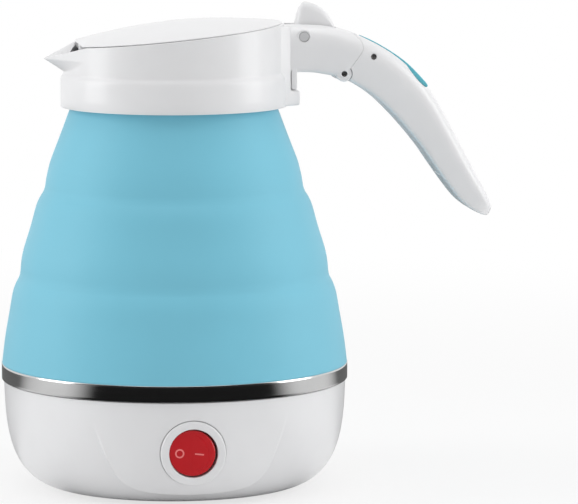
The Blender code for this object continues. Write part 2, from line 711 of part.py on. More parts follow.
def make_element(steel):
    """The tubular element: an open ring under the spreader whose ends turn down."""
    height = HEATER_TOP - ELEMENT_TUBE_RADIUS
    start = math.radians(90) + ELEMENT_OPEN_ANGLE / 2
    span = math.tau - ELEMENT_OPEN_ANGLE
    ring = [on_circle(ELEMENT_RING_RADIUS, start + span * index / 20, height) for index in range(21)]
    down = Vector((0, 0, -1))
    route = []
    for end, sense in ((ring[0], -1), (ring[-1], 1)):
        along = Vector((-end.y, end.x, 0)).normalized() * sense
        bend = [
            end + (along * math.sin(turn) + down * (1 - math.cos(turn))) * ELEMENT_BEND_RADIUS
            for turn in (math.radians(22.5 * step) for step in range(1, 5))]
        bend.append(bend[-1] + down * ELEMENT_TAIL)
        route.append(bend)
    tube("heating_element", list(reversed(route[0])) + ring + route[1], ELEMENT_TUBE_RADIUS, steel)
    return route[0][-1], route[1][-1]


def make_thermal_guards(dark, ceramic):
    """The thermostat under the spreader's middle, and the fuse that lies beside it."""
    bottom = HEATER_TOP - THERMOSTAT_HEIGHT
    profile = [
        (0, bottom - THERMOSTAT_HUB_HEIGHT), (THERMOSTAT_HUB_RADIUS, bottom - THERMOSTAT_HUB_HEIGHT),
        (THERMOSTAT_HUB_RADIUS, bottom), (THERMOSTAT_RADIUS, bottom), (THERMOSTAT_RADIUS, HEATER_TOP),
        (0, HEATER_TOP)]
    placed("thermostat", turned(profile, SMALL_SIDES), dark)
    fuse = cylinder(FUSE_RADIUS, -FUSE_LENGTH / 2, FUSE_LENGTH / 2, PIN_SIDES)
    place = (FUSE_OFFSET, 0, HEATER_TOP - FUSE_RADIUS)
    placed("thermal_fuse", moved(fuse, place, Matrix.Rotation(math.radians(90), 4, 'X')), ceramic)


def make_silicone(silicone, white, top_carrier, middle_carrier):
    """The three tiers of the soft body, and the ring that clamps its neck."""
    lip_outer = BAND_BORE - GAP
    lip_inner = lip_outer - LOWER_LIP_WIDTH
    lip_bottom = FLANGE_TOP + GAP
    outer = curve_points(
        LOWER_FOOT_RADIUS, LOWER_SHOULDER_RADIUS, LOWER_TIER_BOTTOM, LOWER_TIER_TOP, LOWER_CURVE_SHARES)
    inner = [(radius - SILICONE_WALL, height) for radius, height in every_other(outer)]
    bore = MIDDLE_FOOT_RADIUS + GAP
    inner[0] = (inner[0][0], LOWER_TIER_BOTTOM + SILICONE_WALL)
    inner[-1] = (bore, LOWER_TIER_TOP - SILICONE_WALL)
    profile = [(lip_outer, lip_bottom), (lip_outer, LOWER_TIER_BOTTOM)] + outer + [(bore, LOWER_TIER_TOP)]
    profile += list(reversed(inner)) + [(lip_inner, LOWER_TIER_BOTTOM), (lip_inner, lip_bottom)]
    placed("silicone_lower_tier", turned(profile, ROUND_SIDES), silicone)
    outer = curve_points(
        MIDDLE_FOOT_RADIUS, MIDDLE_SHOULDER_RADIUS, MIDDLE_TIER_BOTTOM, MIDDLE_TIER_TOP, MIDDLE_CURVE_SHARES)
    inner = [(radius - SILICONE_WALL, height) for radius, height in every_other(outer)]
    bore = UPPER_FOOT_RADIUS + GAP
    inner[-1] = (bore, MIDDLE_TIER_TOP - SILICONE_WALL)
    inner[-2] = (inner[-2][0], min(inner[-2][1], MIDDLE_TIER_TOP - SILICONE_WALL * 2))
    profile = outer + [(bore, MIDDLE_TIER_TOP)] + list(reversed(inner))
    placed("silicone_middle_tier", turned(profile, ROUND_SIDES), silicone, middle_carrier)
    outer = curve_points(
        UPPER_FOOT_RADIUS, UPPER_NECK_RADIUS, UPPER_TIER_BOTTOM, COLLAR_BOTTOM, UPPER_CURVE_SHARES)
    outer.append((UPPER_NECK_RADIUS, COLLAR_BOTTOM + NECK_LIP_HEIGHT))
    inner = [(radius - SILICONE_WALL, height) for radius, height in every_other(outer)]
    placed("silicone_upper_tier", turned(outer + list(reversed(inner)), ROUND_SIDES), silicone, top_carrier)
    ring_outer = UPPER_NECK_RADIUS - SILICONE_WALL - GAP
    ring_inner = ring_outer - CLAMP_WALL
    ring_top = COLLAR_BOTTOM + NECK_LIP_HEIGHT
    placed("neck_clamp_ring", turned(
        [(ring_inner, COLLAR_BOTTOM), (ring_outer, COLLAR_BOTTOM), (ring_outer, ring_top), (ring_inner, ring_top)],
        INNER_SIDES), white, top_carrier)


def spout_share(height):
    """How far the spout's point has grown out of the collar at a height, from 0 to 1."""
    rise = height - COLLAR_BOTTOM - SPOUT_START_HEIGHT
    return min(max(rise / (SPOUT_TIP_HEIGHT - SPOUT_START_HEIGHT), 0.0), 1.0)


def teardrop_radius(turn, radius, height):
    """The collar's radius at an angle from the spout: a circle with two tangents that meet in a point."""
    reach = COLLAR_RADIUS + (SPOUT_REACH - COLLAR_RADIUS) * spout_share(height)
    tangent = math.acos(COLLAR_RADIUS / reach)
    away = abs(math.remainder(turn, math.tau))
    if away >= tangent:
        return radius
    return radius / math.cos(tangent - away)


def collar_rim_height(turn):
    """The collar's rim: a slightly sloping plane that falls away along the spout to its point."""
    widest = math.acos(COLLAR_RADIUS / SPOUT_REACH)
    away = abs(math.remainder(turn, math.tau))
    along = -COLLAR_RADIUS * math.cos(max(away, widest))
    rim = RIM_HEIGHT + RIM_SLOPE * along
    if away >= widest:
        return rim
    across = teardrop_radius(turn, COLLAR_RADIUS, RIM_HEIGHT) * math.cos(away)
    start = COLLAR_RADIUS * math.cos(widest)
    share = (across - start) / (SPOUT_REACH - start)
    return rim + (COLLAR_BOTTOM + SPOUT_TIP_HEIGHT - rim) * share


def make_collar(white, top_carrier):
    """The collar: a round band, a softer upper wall, the open spout and the pad behind for the bracket."""
    turns = around(ROUND_SIDES)
    band_top = COLLAR_BOTTOM + COLLAR_BAND_HEIGHT
    start = COLLAR_BOTTOM + SPOUT_START_HEIGHT
    slim = COLLAR_BORE / COLLAR_RADIUS

    def level(radius, height):
        return [(-radius * math.cos(turn), radius * math.sin(turn), height) for turn in turns]

    def spout_level(share, inside):
        ring = []
        for turn in turns:
            height = start + (collar_rim_height(turn) - start) * share
            seen = height - SPOUT_FLOOR if inside else height
            radius = teardrop_radius(turn, COLLAR_RADIUS, seen) * (slim if inside else 1.0)
            ring.append((-radius * math.cos(turn), radius * math.sin(turn), height))
        return ring

    rings = [level(COLLAR_BAND_RADIUS - COLLAR_EDGE, COLLAR_BOTTOM),
             level(COLLAR_BAND_RADIUS, COLLAR_BOTTOM + COLLAR_EDGE),
             level(COLLAR_BAND_RADIUS, band_top - COLLAR_COVE),
             level(COLLAR_RADIUS, band_top + COLLAR_COVE),
             level(COLLAR_RADIUS, start)]
    rings += [spout_level(share, False) for share in COLLAR_LEVEL_SHARES]
    rings += [spout_level(share, True) for share in reversed(COLLAR_LEVEL_SHARES)]
    rings += [level(COLLAR_BORE, start), level(COLLAR_BORE, COLLAR_BOTTOM)]
    collar = placed("collar", loft(rings, closed=True), white, top_carrier)
    inner = (COLLAR_BORE + COLLAR_RADIUS) / 2
    foot_top = COLLAR_BOTTOM + REAR_FOOT_HEIGHT
    outline = [
        (inner, COLLAR_BOTTOM + COLLAR_EDGE), (REAR_FOOT_REACH - REAR_FOOT_CHAMFER, COLLAR_BOTTOM + COLLAR_EDGE),
        (REAR_FOOT_REACH, COLLAR_BOTTOM + COLLAR_EDGE + REAR_FOOT_CHAMFER),
        (REAR_FOOT_REACH, foot_top - REAR_FOOT_CHAMFER), (REAR_FOOT_REACH - REAR_FOOT_CHAMFER, foot_top),
        (REAR_PAD_REACH, foot_top), (REAR_PAD_REACH, COLLAR_BOTTOM + REAR_PAD_TOP_HEIGHT),
        (inner, COLLAR_BOTTOM + REAR_PAD_TOP_HEIGHT)]
    combine(collar, cutter("rear_pad_form", slab(outline, BRACKET_WIDTH)), 'UNION')
    notch_half = FIN_THICKNESS / 2 + GAP
    low = (TONGUE_ROOT, -notch_half, tongue_bottom() - LID_EDGE - GAP)
    high = (HINGE_REACH, notch_half, RIM_HEIGHT + OVERRUN + COLLAR_COVE + RIM_SLOPE * HINGE_REACH)
    combine(collar, cutter("tongue_notch", box(low, high)), 'DIFFERENCE')
    for number, place, turn in bracket_screw_places():
        bore = screw_bore(f"collar_screw_bore_{number}", BRACKET_SCREW_LENGTH, place, turn)
        combine(collar, bore, 'DIFFERENCE')
    return collar


def bracket_screw_places():
    """The two screws that run from inside the collar into the bracket's cheeks."""
    turn = Matrix.Rotation(math.radians(90), 4, 'Y')
    half = BRACKET_SCREW_SPREAD / 2
    depth = math.sqrt(COLLAR_BORE ** 2 - half ** 2) + GAP
    height = COLLAR_BOTTOM + BRACKET_SCREW_HEIGHT
    return [(number, (depth, side * half, height), turn) for number, side in ((1, -1), (2, 1))]


def tongue_bottom():
    """The underside of the lid's tongue."""
    return LID_SEAT + RIM_SLOPE * TONGUE_ROOT - TONGUE_THICKNESS


def hub_outline(extra):
    """The round eye about the lid's hinge pin, with some clearance."""
    return arc((HINGE.x, HINGE.z), HINGE_HUB_RADIUS + extra, 0, math.tau * 15 / 16, 16)


def make_lid(white, seal_rubber, lid_carrier):
    """The domed lid with a straight front, its skirt, seal, tongue and thumb fin."""
    tilt = Matrix.Rotation(-math.atan(RIM_SLOPE), 4, 'Y')
    seat = (0, 0, LID_SEAT)
    skirt_outer = COLLAR_BORE - LID_SEAL_CLEARANCE - LID_SEAL_WIDTH - GAP
    skirt_inner = skirt_outer - LID_SKIRT_WALL
    dome = [(LID_RADIUS * share, LID_EDGE + LID_DOME * (1 - share ** 2)) for share in LID_DOME_SHARES]
    under = max(LID_EDGE + LID_DOME - LID_PLATE, LID_EDGE)
    profile = [(0, under)] + [
        (skirt_inner * share, under - (under - LID_EDGE) * share ** 2) for share in every_other(LID_DOME_SHARES)[1:]]
    profile += [(skirt_inner, -LID_SKIRT_DEPTH), (skirt_outer, -LID_SKIRT_DEPTH), (skirt_outer, 0)]
    profile += [(LID_RADIUS, 0)] + list(reversed(dome))
    lid = placed("lid", moved(turned(profile, ROUND_SIDES), seat, tilt), white, lid_carrier)
    seal_inner = skirt_outer + GAP
    seal_outer = COLLAR_BORE - LID_SEAL_CLEARANCE
    seal_profile = [
        (seal_inner, -GAP - LID_SEAL_HEIGHT), (seal_outer, -GAP - LID_SEAL_HEIGHT), (seal_outer, -GAP),
        (seal_inner, -GAP)]
    seal = placed("lid_seal", moved(turned(seal_profile, ROUND_SIDES), seat, tilt), seal_rubber, lid_carrier)
    front_low = (-SPOUT_REACH, -LID_RADIUS, -LID_SKIRT_DEPTH - OVERRUN)
    front_high = (-LID_FRONT, LID_RADIUS, LID_DOME + LID_EDGE + OVERRUN)
    front = cutter("lid_front_cutter", moved(box(front_low, front_high), seat, tilt))
    combine(lid, front, 'DIFFERENCE')
    combine(seal, front, 'DIFFERENCE')
    top_near_fin = HINGE.z + HINGE_HUB_RADIUS + LID_EDGE
    bottom = tongue_bottom()
    root_seat = LID_SEAT + RIM_SLOPE * TONGUE_ROOT + LID_EDGE / 2
    wall_seat = LID_SEAT + RIM_SLOPE * COLLAR_BORE + LID_EDGE / 2
    tongue = [
        (TONGUE_ROOT, root_seat), (COLLAR_BORE, wall_seat), (COLLAR_BORE, bottom),
        (HINGE.x - HINGE_HUB_RADIUS, bottom - LID_EDGE), (HINGE.x, HINGE.z), (HINGE.x, top_near_fin),
        (TONGUE_ROOT, root_seat + LID_PLATE / 2)]
    combine(lid, cutter("tongue_form", slab(tongue, FIN_THICKNESS)), 'UNION')
    combine(lid, cutter("hub_form", slab(hub_outline(0), FIN_THICKNESS)), 'UNION')
    centre = (HINGE.x, HINGE.z)
    back = HINGE.x - HINGE_HUB_RADIUS / 2
    fin = [(HINGE.x, HINGE.z + HINGE_PIN_RADIUS)]
    fin += arc(centre, FIN_RADIUS, FIN_START_ANGLE, FIN_END_ANGLE, FIN_ARC_POINTS)
    fin += [(back, HINGE.z + FIN_RADIUS * FIN_BACK_SHARE), (back - LID_EDGE, HINGE.z + HINGE_HUB_RADIUS)]
    combine(lid, cutter("fin_form", slab(fin, FIN_THICKNESS - GAP, BRACKET_CHAMFER)), 'UNION')
    combine(lid, bore_along_y(
        "lid_pin_bore", HINGE, HINGE_PIN_RADIUS + BORE_CLEARANCE, BRACKET_WIDTH), 'DIFFERENCE')


def bracket_outline():
    """The bracket seen from the side: plate, body, fold knuckle and the rounded parting line."""
    base = COLLAR_BOTTOM
    top = base + BRACKET_TOP_HEIGHT
    bottom = base + BRACKET_BOTTOM_HEIGHT
    plate_bottom = base + REAR_FOOT_HEIGHT + GAP
    plate_back = BRACKET_FRONT + BRACKET_PLATE
    line = [
        (FOLD.x + PART_LINE_REACH * across - GAP / 2, FOLD.z + PART_LINE_HEIGHT * up)
        for up, across in PART_LINE_SHARES]
    line[0] = (FOLD.x + PART_LINE_REACH * PART_LINE_TOP_SHARE, FOLD.z + PART_LINE_HEIGHT)
    knuckle = arc((FOLD.x, FOLD.z), KNUCKLE_RADIUS, math.radians(35), math.radians(-110), 8)
    points = [(BRACKET_FRONT, top - GAP), (FOLD.x - PART_LINE_REACH * BRACKET_CREST_SHARE, top - BRACKET_CHAMFER)]
    points += line[:1] + line[1:-1]
    points += knuckle
    points += [(FOLD.x - PART_LINE_REACH * BRACKET_FOOT_SHARE, bottom - BRACKET_CHAMFER)]
    points += [(plate_back + PART_LINE_REACH, bottom)]
    points += [(plate_back, bottom), (plate_back, plate_bottom), (BRACKET_FRONT, plate_bottom)]
    return points


def fin_slot_outline():
    """The room that the tongue, the eye and the fin need as the lid swings open."""
    radius = FIN_RADIUS + 2 * GAP
    hub = HINGE_HUB_RADIUS + 2 * GAP
    centre = (HINGE.x, HINGE.z)
    high = HINGE.z + FIN_RADIUS + OVERRUN
    low_angle = FIN_START_ANGLE - LID_OPENING - math.radians(8)
    sweep = arc(centre, radius, low_angle, math.radians(60), 14)
    eye = arc(centre, hub, math.radians(180), math.radians(300), 8)
    left = COLLAR_BORE
    return eye + sweep + [(HINGE.x + radius, high), (left, high), (left, HINGE.z)]


def lug_outline(extra, arm):
    """The grip's lug: round about the fold pin, with an arm that runs into the grip."""
    radius = LUG_RADIUS + extra
    points = arc((FOLD.x, FOLD.z), radius, math.radians(90), math.radians(250), 9)
    return points + [(FOLD.x + arm, FOLD.z - radius * LUG_FLOOR_SHARE), (FOLD.x + arm, FOLD.z + radius)]


def make_bracket(white, steel, top_carrier):
    """The bracket behind the collar, with its slots, bores and the latch's pocket."""
    chamfer = min(BRACKET_CHAMFER, BRACKET_PLATE / 3)
    bracket = placed("handle_bracket", slab(bracket_outline(), BRACKET_WIDTH, chamfer), white, top_carrier)
    combine(bracket, cutter("fin_slot", slab(fin_slot_outline(), FIN_THICKNESS + 2 * GAP)), 'DIFFERENCE')
    lug_slot = lug_outline(2 * GAP, LUG_ARM * 2)
    combine(bracket, cutter("lug_slot", slab(lug_slot, LUG_WIDTH + 2 * GAP)), 'DIFFERENCE')
    nose = LEVER_PIN.x + LEVER_REACH * LEVER_NOSE_SHARES[2][0] - 2 * GAP
    tooth = LEVER_PIN.z - LEVER_HEIGHT * LEVER_NOSE_SHARES[3][1]
    half = LEVER_WIDTH / 2 + GAP
    pocket_low = (nose, -half, tooth + NOSE_POCKET_DEPTH - NOSE_POCKET_HEIGHT)
    pocket_high = (LEVER_PIN.x, half, tooth + NOSE_POCKET_DEPTH)
    combine(bracket, cutter("latch_pocket", box(pocket_low, pocket_high)), 'DIFFERENCE')
    width = BRACKET_WIDTH + OVERRUN
    combine(bracket, bore_along_y(
        "bracket_hinge_bore", HINGE, HINGE_PIN_RADIUS + BORE_CLEARANCE, width), 'DIFFERENCE')
    combine(bracket, bore_along_y(
        "bracket_fold_bore", FOLD, FOLD_PIN_RADIUS + BORE_CLEARANCE, width), 'DIFFERENCE')
    for number, place, turn in bracket_screw_places():
        bore = screw_bore(f"bracket_screw_bore_{number}", BRACKET_SCREW_LENGTH, place, turn)
        combine(bracket, bore, 'DIFFERENCE')
        screw(f"bracket_screw_{number}", BRACKET_SCREW_LENGTH, steel, place, turn, top_carrier)
    pin_along_y("lid_hinge_pin", HINGE, HINGE_PIN_RADIUS, BRACKET_WIDTH - GAP, white, top_carrier)
    pin_along_y(
        "handle_fold_pin", FOLD, FOLD_PIN_RADIUS, BRACKET_WIDTH - 2 * FOLD_PIN_RECESS, steel, top_carrier)


def grip_frames():
    """For each station its inner point, the way to its outer point, their distance and the half width."""
    frames = []
    for outer_x, outer_drop, inner_x, inner_drop, wide in GRIP_STATION_SHARES:
        outer = FOLD + Vector((GRIP_REACH * outer_x, 0, -GRIP_HEIGHT * outer_drop))
        inner = FOLD + Vector((GRIP_REACH * inner_x, 0, -GRIP_HEIGHT * inner_drop))
        away = outer - inner
        frames.append((inner, away.normalized(), away.length, wide * GRIP_WIDTH / 2))
    return frames


def grip_ring(frame):
    """A rounded section of the grip: a superellipse between its inner and outer points."""
    inner, out, depth, half = frame
    ring = []
    for turn in around(GRIP_RING_SIDES):
        side = math.copysign(abs(math.cos(turn)) ** (2 / GRIP_ROUNDNESS), math.cos(turn))
        rise = math.copysign(abs(math.sin(turn)) ** (2 / GRIP_ROUNDNESS), math.sin(turn))
        ring.append(inner + out * (depth / 2 * (1 + rise)) + Vector((0, half * side, 0)))
    return ring


def grip_slab(frames, start, end, inset):
    """A straight-sided filling of the grip between two depths, measured from its inner side."""
    rings = []
    for inner, out, depth, half in frames:
        low = inner + out * start
        high = inner + out * end(depth)
        side = Vector((0, half - inset, 0))
        rings.append([low - side, low + side, high + side, high - side])
    return loft(rings)


def lever_outline():
    """The lever from the side: a thin strip that ends in a drop, an eye and the latch's tooth."""
    points = []
    for across, down in LEVER_OUTLINE_SHARES:
        points.append((LEVER_PIN.x + LEVER_REACH * across, LEVER_PIN.z - LEVER_HEIGHT * down))
    eye = arc((LEVER_PIN.x, LEVER_PIN.z), LEVER_HUB_RADIUS, math.radians(-20), math.radians(-175), 8)
    nose = [
        (LEVER_PIN.x + LEVER_REACH * across, LEVER_PIN.z - LEVER_HEIGHT * down) for across, down in LEVER_NOSE_SHARES]
    return points + eye + nose


def lever_channel_outline():
    """The room in the grip's top that the lever needs as it is pressed."""
    sine, cosine = math.sin(LEVER_TRAVEL), math.cos(LEVER_TRAVEL)
    pressed = []
    for across, down in LEVER_OUTLINE_SHARES[7:]:
        x, z = LEVER_REACH * across, -LEVER_HEIGHT * down
        pressed.append((LEVER_PIN.x + x * cosine + z * sine, LEVER_PIN.z - x * sine + z * cosine - 2 * GAP))
    high = LEVER_PIN.z + LEVER_HEIGHT
    end = LEVER_PIN.x + LEVER_REACH + 3 * GAP
    front = FOLD.x
    eye = LEVER_HUB_RADIUS + 2 * GAP
    return [(front, high), (end, high), (end, pressed[0][1] + (end - pressed[0][0]))] + pressed + [
        (LEVER_PIN.x + eye, LEVER_PIN.z - eye), (LEVER_PIN.x - eye, LEVER_PIN.z - eye),
        (LEVER_PIN.x - eye - GAP, LEVER_PIN.z), (front, LEVER_PIN.z)]


def make_handle(white, blue, steel, handle_carrier, lever_carrier):
    """The folding grip with its cover, the release lever, its pin and spring."""
    frames = grip_frames()
    grip = placed("handle_grip", loft([grip_ring(frame) for frame in frames]), white, handle_carrier)
    room = inset_outline(anticlockwise(bracket_outline()), -GAP)
    combine(grip, cutter("parting_cutter", slab(room, BRACKET_WIDTH * 2)), 'DIFFERENCE')
    turn = Matrix.Rotation(math.radians(90), 4, 'X')
    knuckle = moved(cylinder(KNUCKLE_RADIUS + GAP, -BRACKET_WIDTH, BRACKET_WIDTH, INNER_SIDES), FOLD, turn)
    combine(grip, cutter("knuckle_cutter", knuckle), 'DIFFERENCE')
    combine(grip, cutter("lug_form", slab(lug_outline(0, LUG_ARM), LUG_WIDTH)), 'UNION')
    mouth = frames[CAVITY_FIRST_STATION:CAVITY_LAST_STATION]
    hollow = grip_slab(mouth, -OVERRUN, lambda depth: depth - GRIP_ROOF, GRIP_WALL)
    combine(grip, cutter("grip_hollow", hollow), 'DIFFERENCE')
    channel = slab(lever_channel_outline(), LEVER_WIDTH + 2 * GAP)
    combine(grip, cutter("lever_channel", channel), 'DIFFERENCE')
    width = GRIP_WIDTH + OVERRUN
    combine(grip, bore_along_y("grip_fold_bore", FOLD, FOLD_PIN_RADIUS + BORE_CLEARANCE, width), 'DIFFERENCE')
    combine(grip, bore_along_y(
        "grip_lever_bore", LEVER_PIN, LEVER_PIN_RADIUS + BORE_CLEARANCE, width), 'DIFFERENCE')
    lid_end = GRIP_COVER_INSET + GRIP_COVER_THICKNESS
    strip = grip_slab(shortened(mouth), GRIP_COVER_INSET, lambda depth: lid_end, GRIP_WALL + GAP)
    placed("handle_inner_cover", strip, white, handle_carrier)
    pin_along_y(
        "lever_pin", LEVER_PIN, LEVER_PIN_RADIUS, GRIP_WIDTH - 2 * FOLD_PIN_RECESS, steel, handle_carrier)
    make_lever_spring(grip, steel, handle_carrier)
    lever = placed("release_lever", slab(lever_outline(), LEVER_WIDTH), blue, lever_carrier)
    combine(lever, bore_along_y(
        "lever_bore", LEVER_PIN, LEVER_PIN_RADIUS + BORE_CLEARANCE, width), 'DIFFERENCE')


def pressed_underside(reach):
    """How low the pressed lever's underside comes, below its pin, at a distance behind the pin."""
    under = [(LEVER_REACH * across, -LEVER_HEIGHT * down) for across, down in LEVER_OUTLINE_SHARES[8:]]
    for (x1, z1), (x0, z0) in zip(under, under[1:]):
        if x0 <= reach <= x1:
            height = z0 + (z1 - z0) * (reach - x0) / (x1 - x0)
            return height - math.sin(LEVER_TRAVEL) * reach
    return under[-1][1]


def make_lever_spring(grip, steel, handle_carrier):
    """The spring that returns the lever: a plain hollow drum in a pocket of the grip, out of sight."""
    top = pressed_underside(SPRING_REACH + SPRING_RADIUS) - GAP
    place = LEVER_PIN + Vector((SPRING_REACH, 0, top))
    outer = SPRING_RADIUS
    inner = SPRING_RADIUS - SPRING_WIRE
    profile = [(inner, -SPRING_HEIGHT), (outer, -SPRING_HEIGHT), (outer, 0), (inner, 0)]
    placed("lever_spring", moved(turned(profile, PIN_SIDES), place), steel, handle_carrier)
    pocket = cylinder(SPRING_RADIUS + GAP, -SPRING_HEIGHT - GAP, SPRING_RADIUS, PIN_SIDES)
    combine(grip, cutter("spring_pocket", moved(pocket, place)), 'DIFFERENCE')


def shortened(frames):
    """The same stations with the first and last drawn in by the gap, so that a cover clears its mouth."""
    drawn = []
    for index, (inner, out, depth, half) in enumerate(frames):
        place = inner
        if index == 0:
            place = inner + (frames[1][0] - inner).normalized() * GAP
        if index == len(frames) - 1:
            place = inner + (frames[-2][0] - inner).normalized() * GAP
        drawn.append((place, out, depth, half))
    return drawn


def make_switch(white, red, dark, rocker_carrier):
    """The switch: bezel, tilting rocker and the housing with its two tabs."""
    facing = Matrix.Rotation(math.radians(90), 4, 'X')
    seat = switch_seat()
    back = seat + GAP
    face = back + BEZEL_PROUD
    centre = (0, 0, SWITCH_HEIGHT)
    profile = [
        (ROCKER_BORE, back - BARREL_DEPTH), (BARREL_RADIUS, back - BARREL_DEPTH), (BARREL_RADIUS, back),
        (BEZEL_RADIUS, back), (BEZEL_RADIUS, face - BEZEL_ROUND), (BEZEL_RADIUS - BEZEL_ROUND, face),
        (ROCKER_BORE + BEZEL_ROUND, face), (ROCKER_BORE, face - BEZEL_ROUND)]
    placed("switch_bezel", moved(turned(profile, INNER_SIDES), centre, facing), white)
    housing_front = back - BARREL_DEPTH - GAP
    housing_back = housing_front - HOUSING_DEPTH
    floor = housing_front - HOUSING_CAVITY_DEPTH
    profile = [
        (0, housing_back), (BARREL_RADIUS, housing_back), (BARREL_RADIUS, housing_front),
        (ROCKER_BORE, housing_front), (ROCKER_BORE, floor), (0, floor)]
    housing = placed("switch_housing", moved(turned(profile, INNER_SIDES), centre, facing), dark)
    tab_end = -(housing_back - SWITCH_TAB_LENGTH)
    for side in (-1, 1):
        middle = side * SWITCH_TAB_SPREAD / 2
        low = (middle - SWITCH_TAB_THICKNESS / 2, -housing_back - OVERRUN / 2, SWITCH_HEIGHT - SWITCH_TAB_WIDTH / 2)
        high = (middle + SWITCH_TAB_THICKNESS / 2, tab_end, SWITCH_HEIGHT + SWITCH_TAB_WIDTH / 2)
        name = "left" if side < 0 else "right"
        combine(housing, cutter(f"switch_tab_{name}", box(low, high)), 'UNION')
    pivot = face - ROCKER_PIVOT_DEPTH
    rocker_carrier.location = (0, -pivot, SWITCH_HEIGHT)
    placed("switch_rocker", rocker_body(pivot), red, rocker_carrier)
    return [(side * SWITCH_TAB_SPREAD / 2, tab_end, SWITCH_HEIGHT) for side in (-1, 1)]


def rocker_body(pivot):
    """The rocker: a drum whose front is two flat halves that meet in a shallow valley, tilted to off."""
    front = []
    back = []
    for turn in around(INNER_SIDES, math.radians(90)):
        x = ROCKER_RADIUS * math.cos(turn)
        z = ROCKER_RADIUS * math.sin(turn)
        dish = ROCKER_DISH * (1 - abs(x) / ROCKER_RADIUS)
        front.append((x, -(ROCKER_PIVOT_DEPTH - dish), z))
        back.append((x, -(ROCKER_PIVOT_DEPTH - ROCKER_DEPTH), z))
    body = loft([back, front])
    body.verts.ensure_lookup_table()
    valley = [body.verts[INNER_SIDES], body.verts[INNER_SIDES + INNER_SIDES // 2]]
    bmesh.ops.connect_verts(body, verts=valley)
    return moved(body, (0, -pivot, SWITCH_HEIGHT), Matrix.Rotation(-ROCKER_TILT, 4, 'Z'))


def make_inlet(dark, brass):
    """The power inlet: a flanged housing with an open socket and three flat pins."""
    low_face = INLET_FACE - INLET_FLANGE_THICKNESS
    body_back = INLET_FACE - INLET_BODY_DEPTH
    half = INLET_FLANGE_WIDTH / 2
    rise = INLET_FLANGE_HEIGHT / 2
    flange = box((-half, low_face, INLET_HEIGHT - rise), (half, INLET_FACE, INLET_HEIGHT + rise))
    housing = placed("inlet_housing", flange, dark)
    half = INLET_BODY_WIDTH / 2
    rise = INLET_BODY_HEIGHT / 2
    rear = box(
        (-half, body_back, INLET_HEIGHT - rise), (half, INLET_FACE - INLET_FLANGE_THICKNESS / 2, INLET_HEIGHT + rise))
    combine(housing, cutter("inlet_body_form", rear), 'UNION')
    half = SOCKET_WIDTH / 2
    rise = SOCKET_HEIGHT / 2
    floor = INLET_FACE - SOCKET_DEPTH
    socket = box(
        (-half, floor, INLET_HEIGHT - rise), (half, INLET_FACE + OVERRUN, INLET_HEIGHT + rise))
    combine(housing, cutter("socket_cutter", socket), 'DIFFERENCE')
    ends = []
    for number, side in enumerate((-1, 0, 1), 1):
        middle = side * INLET_PIN_SPREAD
        lift = INLET_HEIGHT + (INLET_PIN_RAISE if side == 0 else -INLET_PIN_RAISE / 2)
        half = INLET_PIN_WIDTH / 2
        rise = INLET_PIN_HEIGHT / 2
        tail = body_back - INLET_PIN_TAIL
        pin = box((middle - half, tail, lift - rise), (middle + half, floor + INLET_PIN_LENGTH, lift + rise))
        placed(f"inlet_pin_{number}", pin, brass)
        slot = box(
            (middle - half - GAP, body_back - OVERRUN, lift - rise - GAP),
            (middle + half + GAP, floor + OVERRUN, lift + rise + GAP))
        combine(housing, cutter(f"inlet_pin_slot_{number}", slot), 'DIFFERENCE')
        ends.append((middle, tail, lift))
    return ends


def make_leads(pin_ends, tab_ends, element_ends, live, neutral):
    """The leads inside the base: inlet to switch, switch to element, and element back to the inlet."""
    low = COVER_TOP + LEAD_RADIUS + BOSS_HEIGHT
    back = Vector((0, -LEAD_STUB, 0))
    down = Vector((0, 0, -LEAD_STUB))
    touch = 2 * GAP / LEAD_STUB
    live_pin, neutral_pin = [Vector(pin_ends[index]) + back * touch for index in (0, 2)]
    left_tab, right_tab = [Vector(end) - back * touch for end in tab_ends]
    left_tail, right_tail = [Vector(end) + down * touch for end in element_ends]
    from_pin = Vector((-LEAD_BEND, -LEAD_BEND, -LEAD_BEND / 2))
    from_tab = Vector((LEAD_BEND / 4, LEAD_BEND, -LEAD_BEND / 2))
    live_route = [
        live_pin, live_pin + back, live_pin + from_pin, (-LEAD_SIDE, LEAD_REACH, low),
        (-LEAD_SIDE, -LEAD_REACH, low), left_tab + Vector((-from_tab.x, from_tab.y, from_tab.z)),
        left_tab - back, left_tab]
    tube("lead_live", smooth_route(live_route, LEAD_STEPS), LEAD_RADIUS, live)
    switched_route = [
        right_tab, right_tab - back, right_tab + from_tab, (LEAD_SIDE, -LEAD_REACH, low),
        (LEAD_SIDE, LEAD_REACH, low),
        right_tail + down * 2, right_tail + down, right_tail]
    tube("lead_switched", smooth_route(switched_route, LEAD_STEPS), LEAD_RADIUS, live)
    beside_tail = left_tail + down * 2
    neutral_route = [
        neutral_pin, neutral_pin + back, neutral_pin + Vector((-LEAD_BEND / 2, -LEAD_BEND, -LEAD_BEND)),
        Vector((0, beside_tail.y, beside_tail.z)), left_tail + down * 1.6, left_tail + down * 0.8, left_tail]
    tube("lead_neutral", smooth_route(neutral_route, LEAD_STEPS), LEAD_RADIUS, neutral)


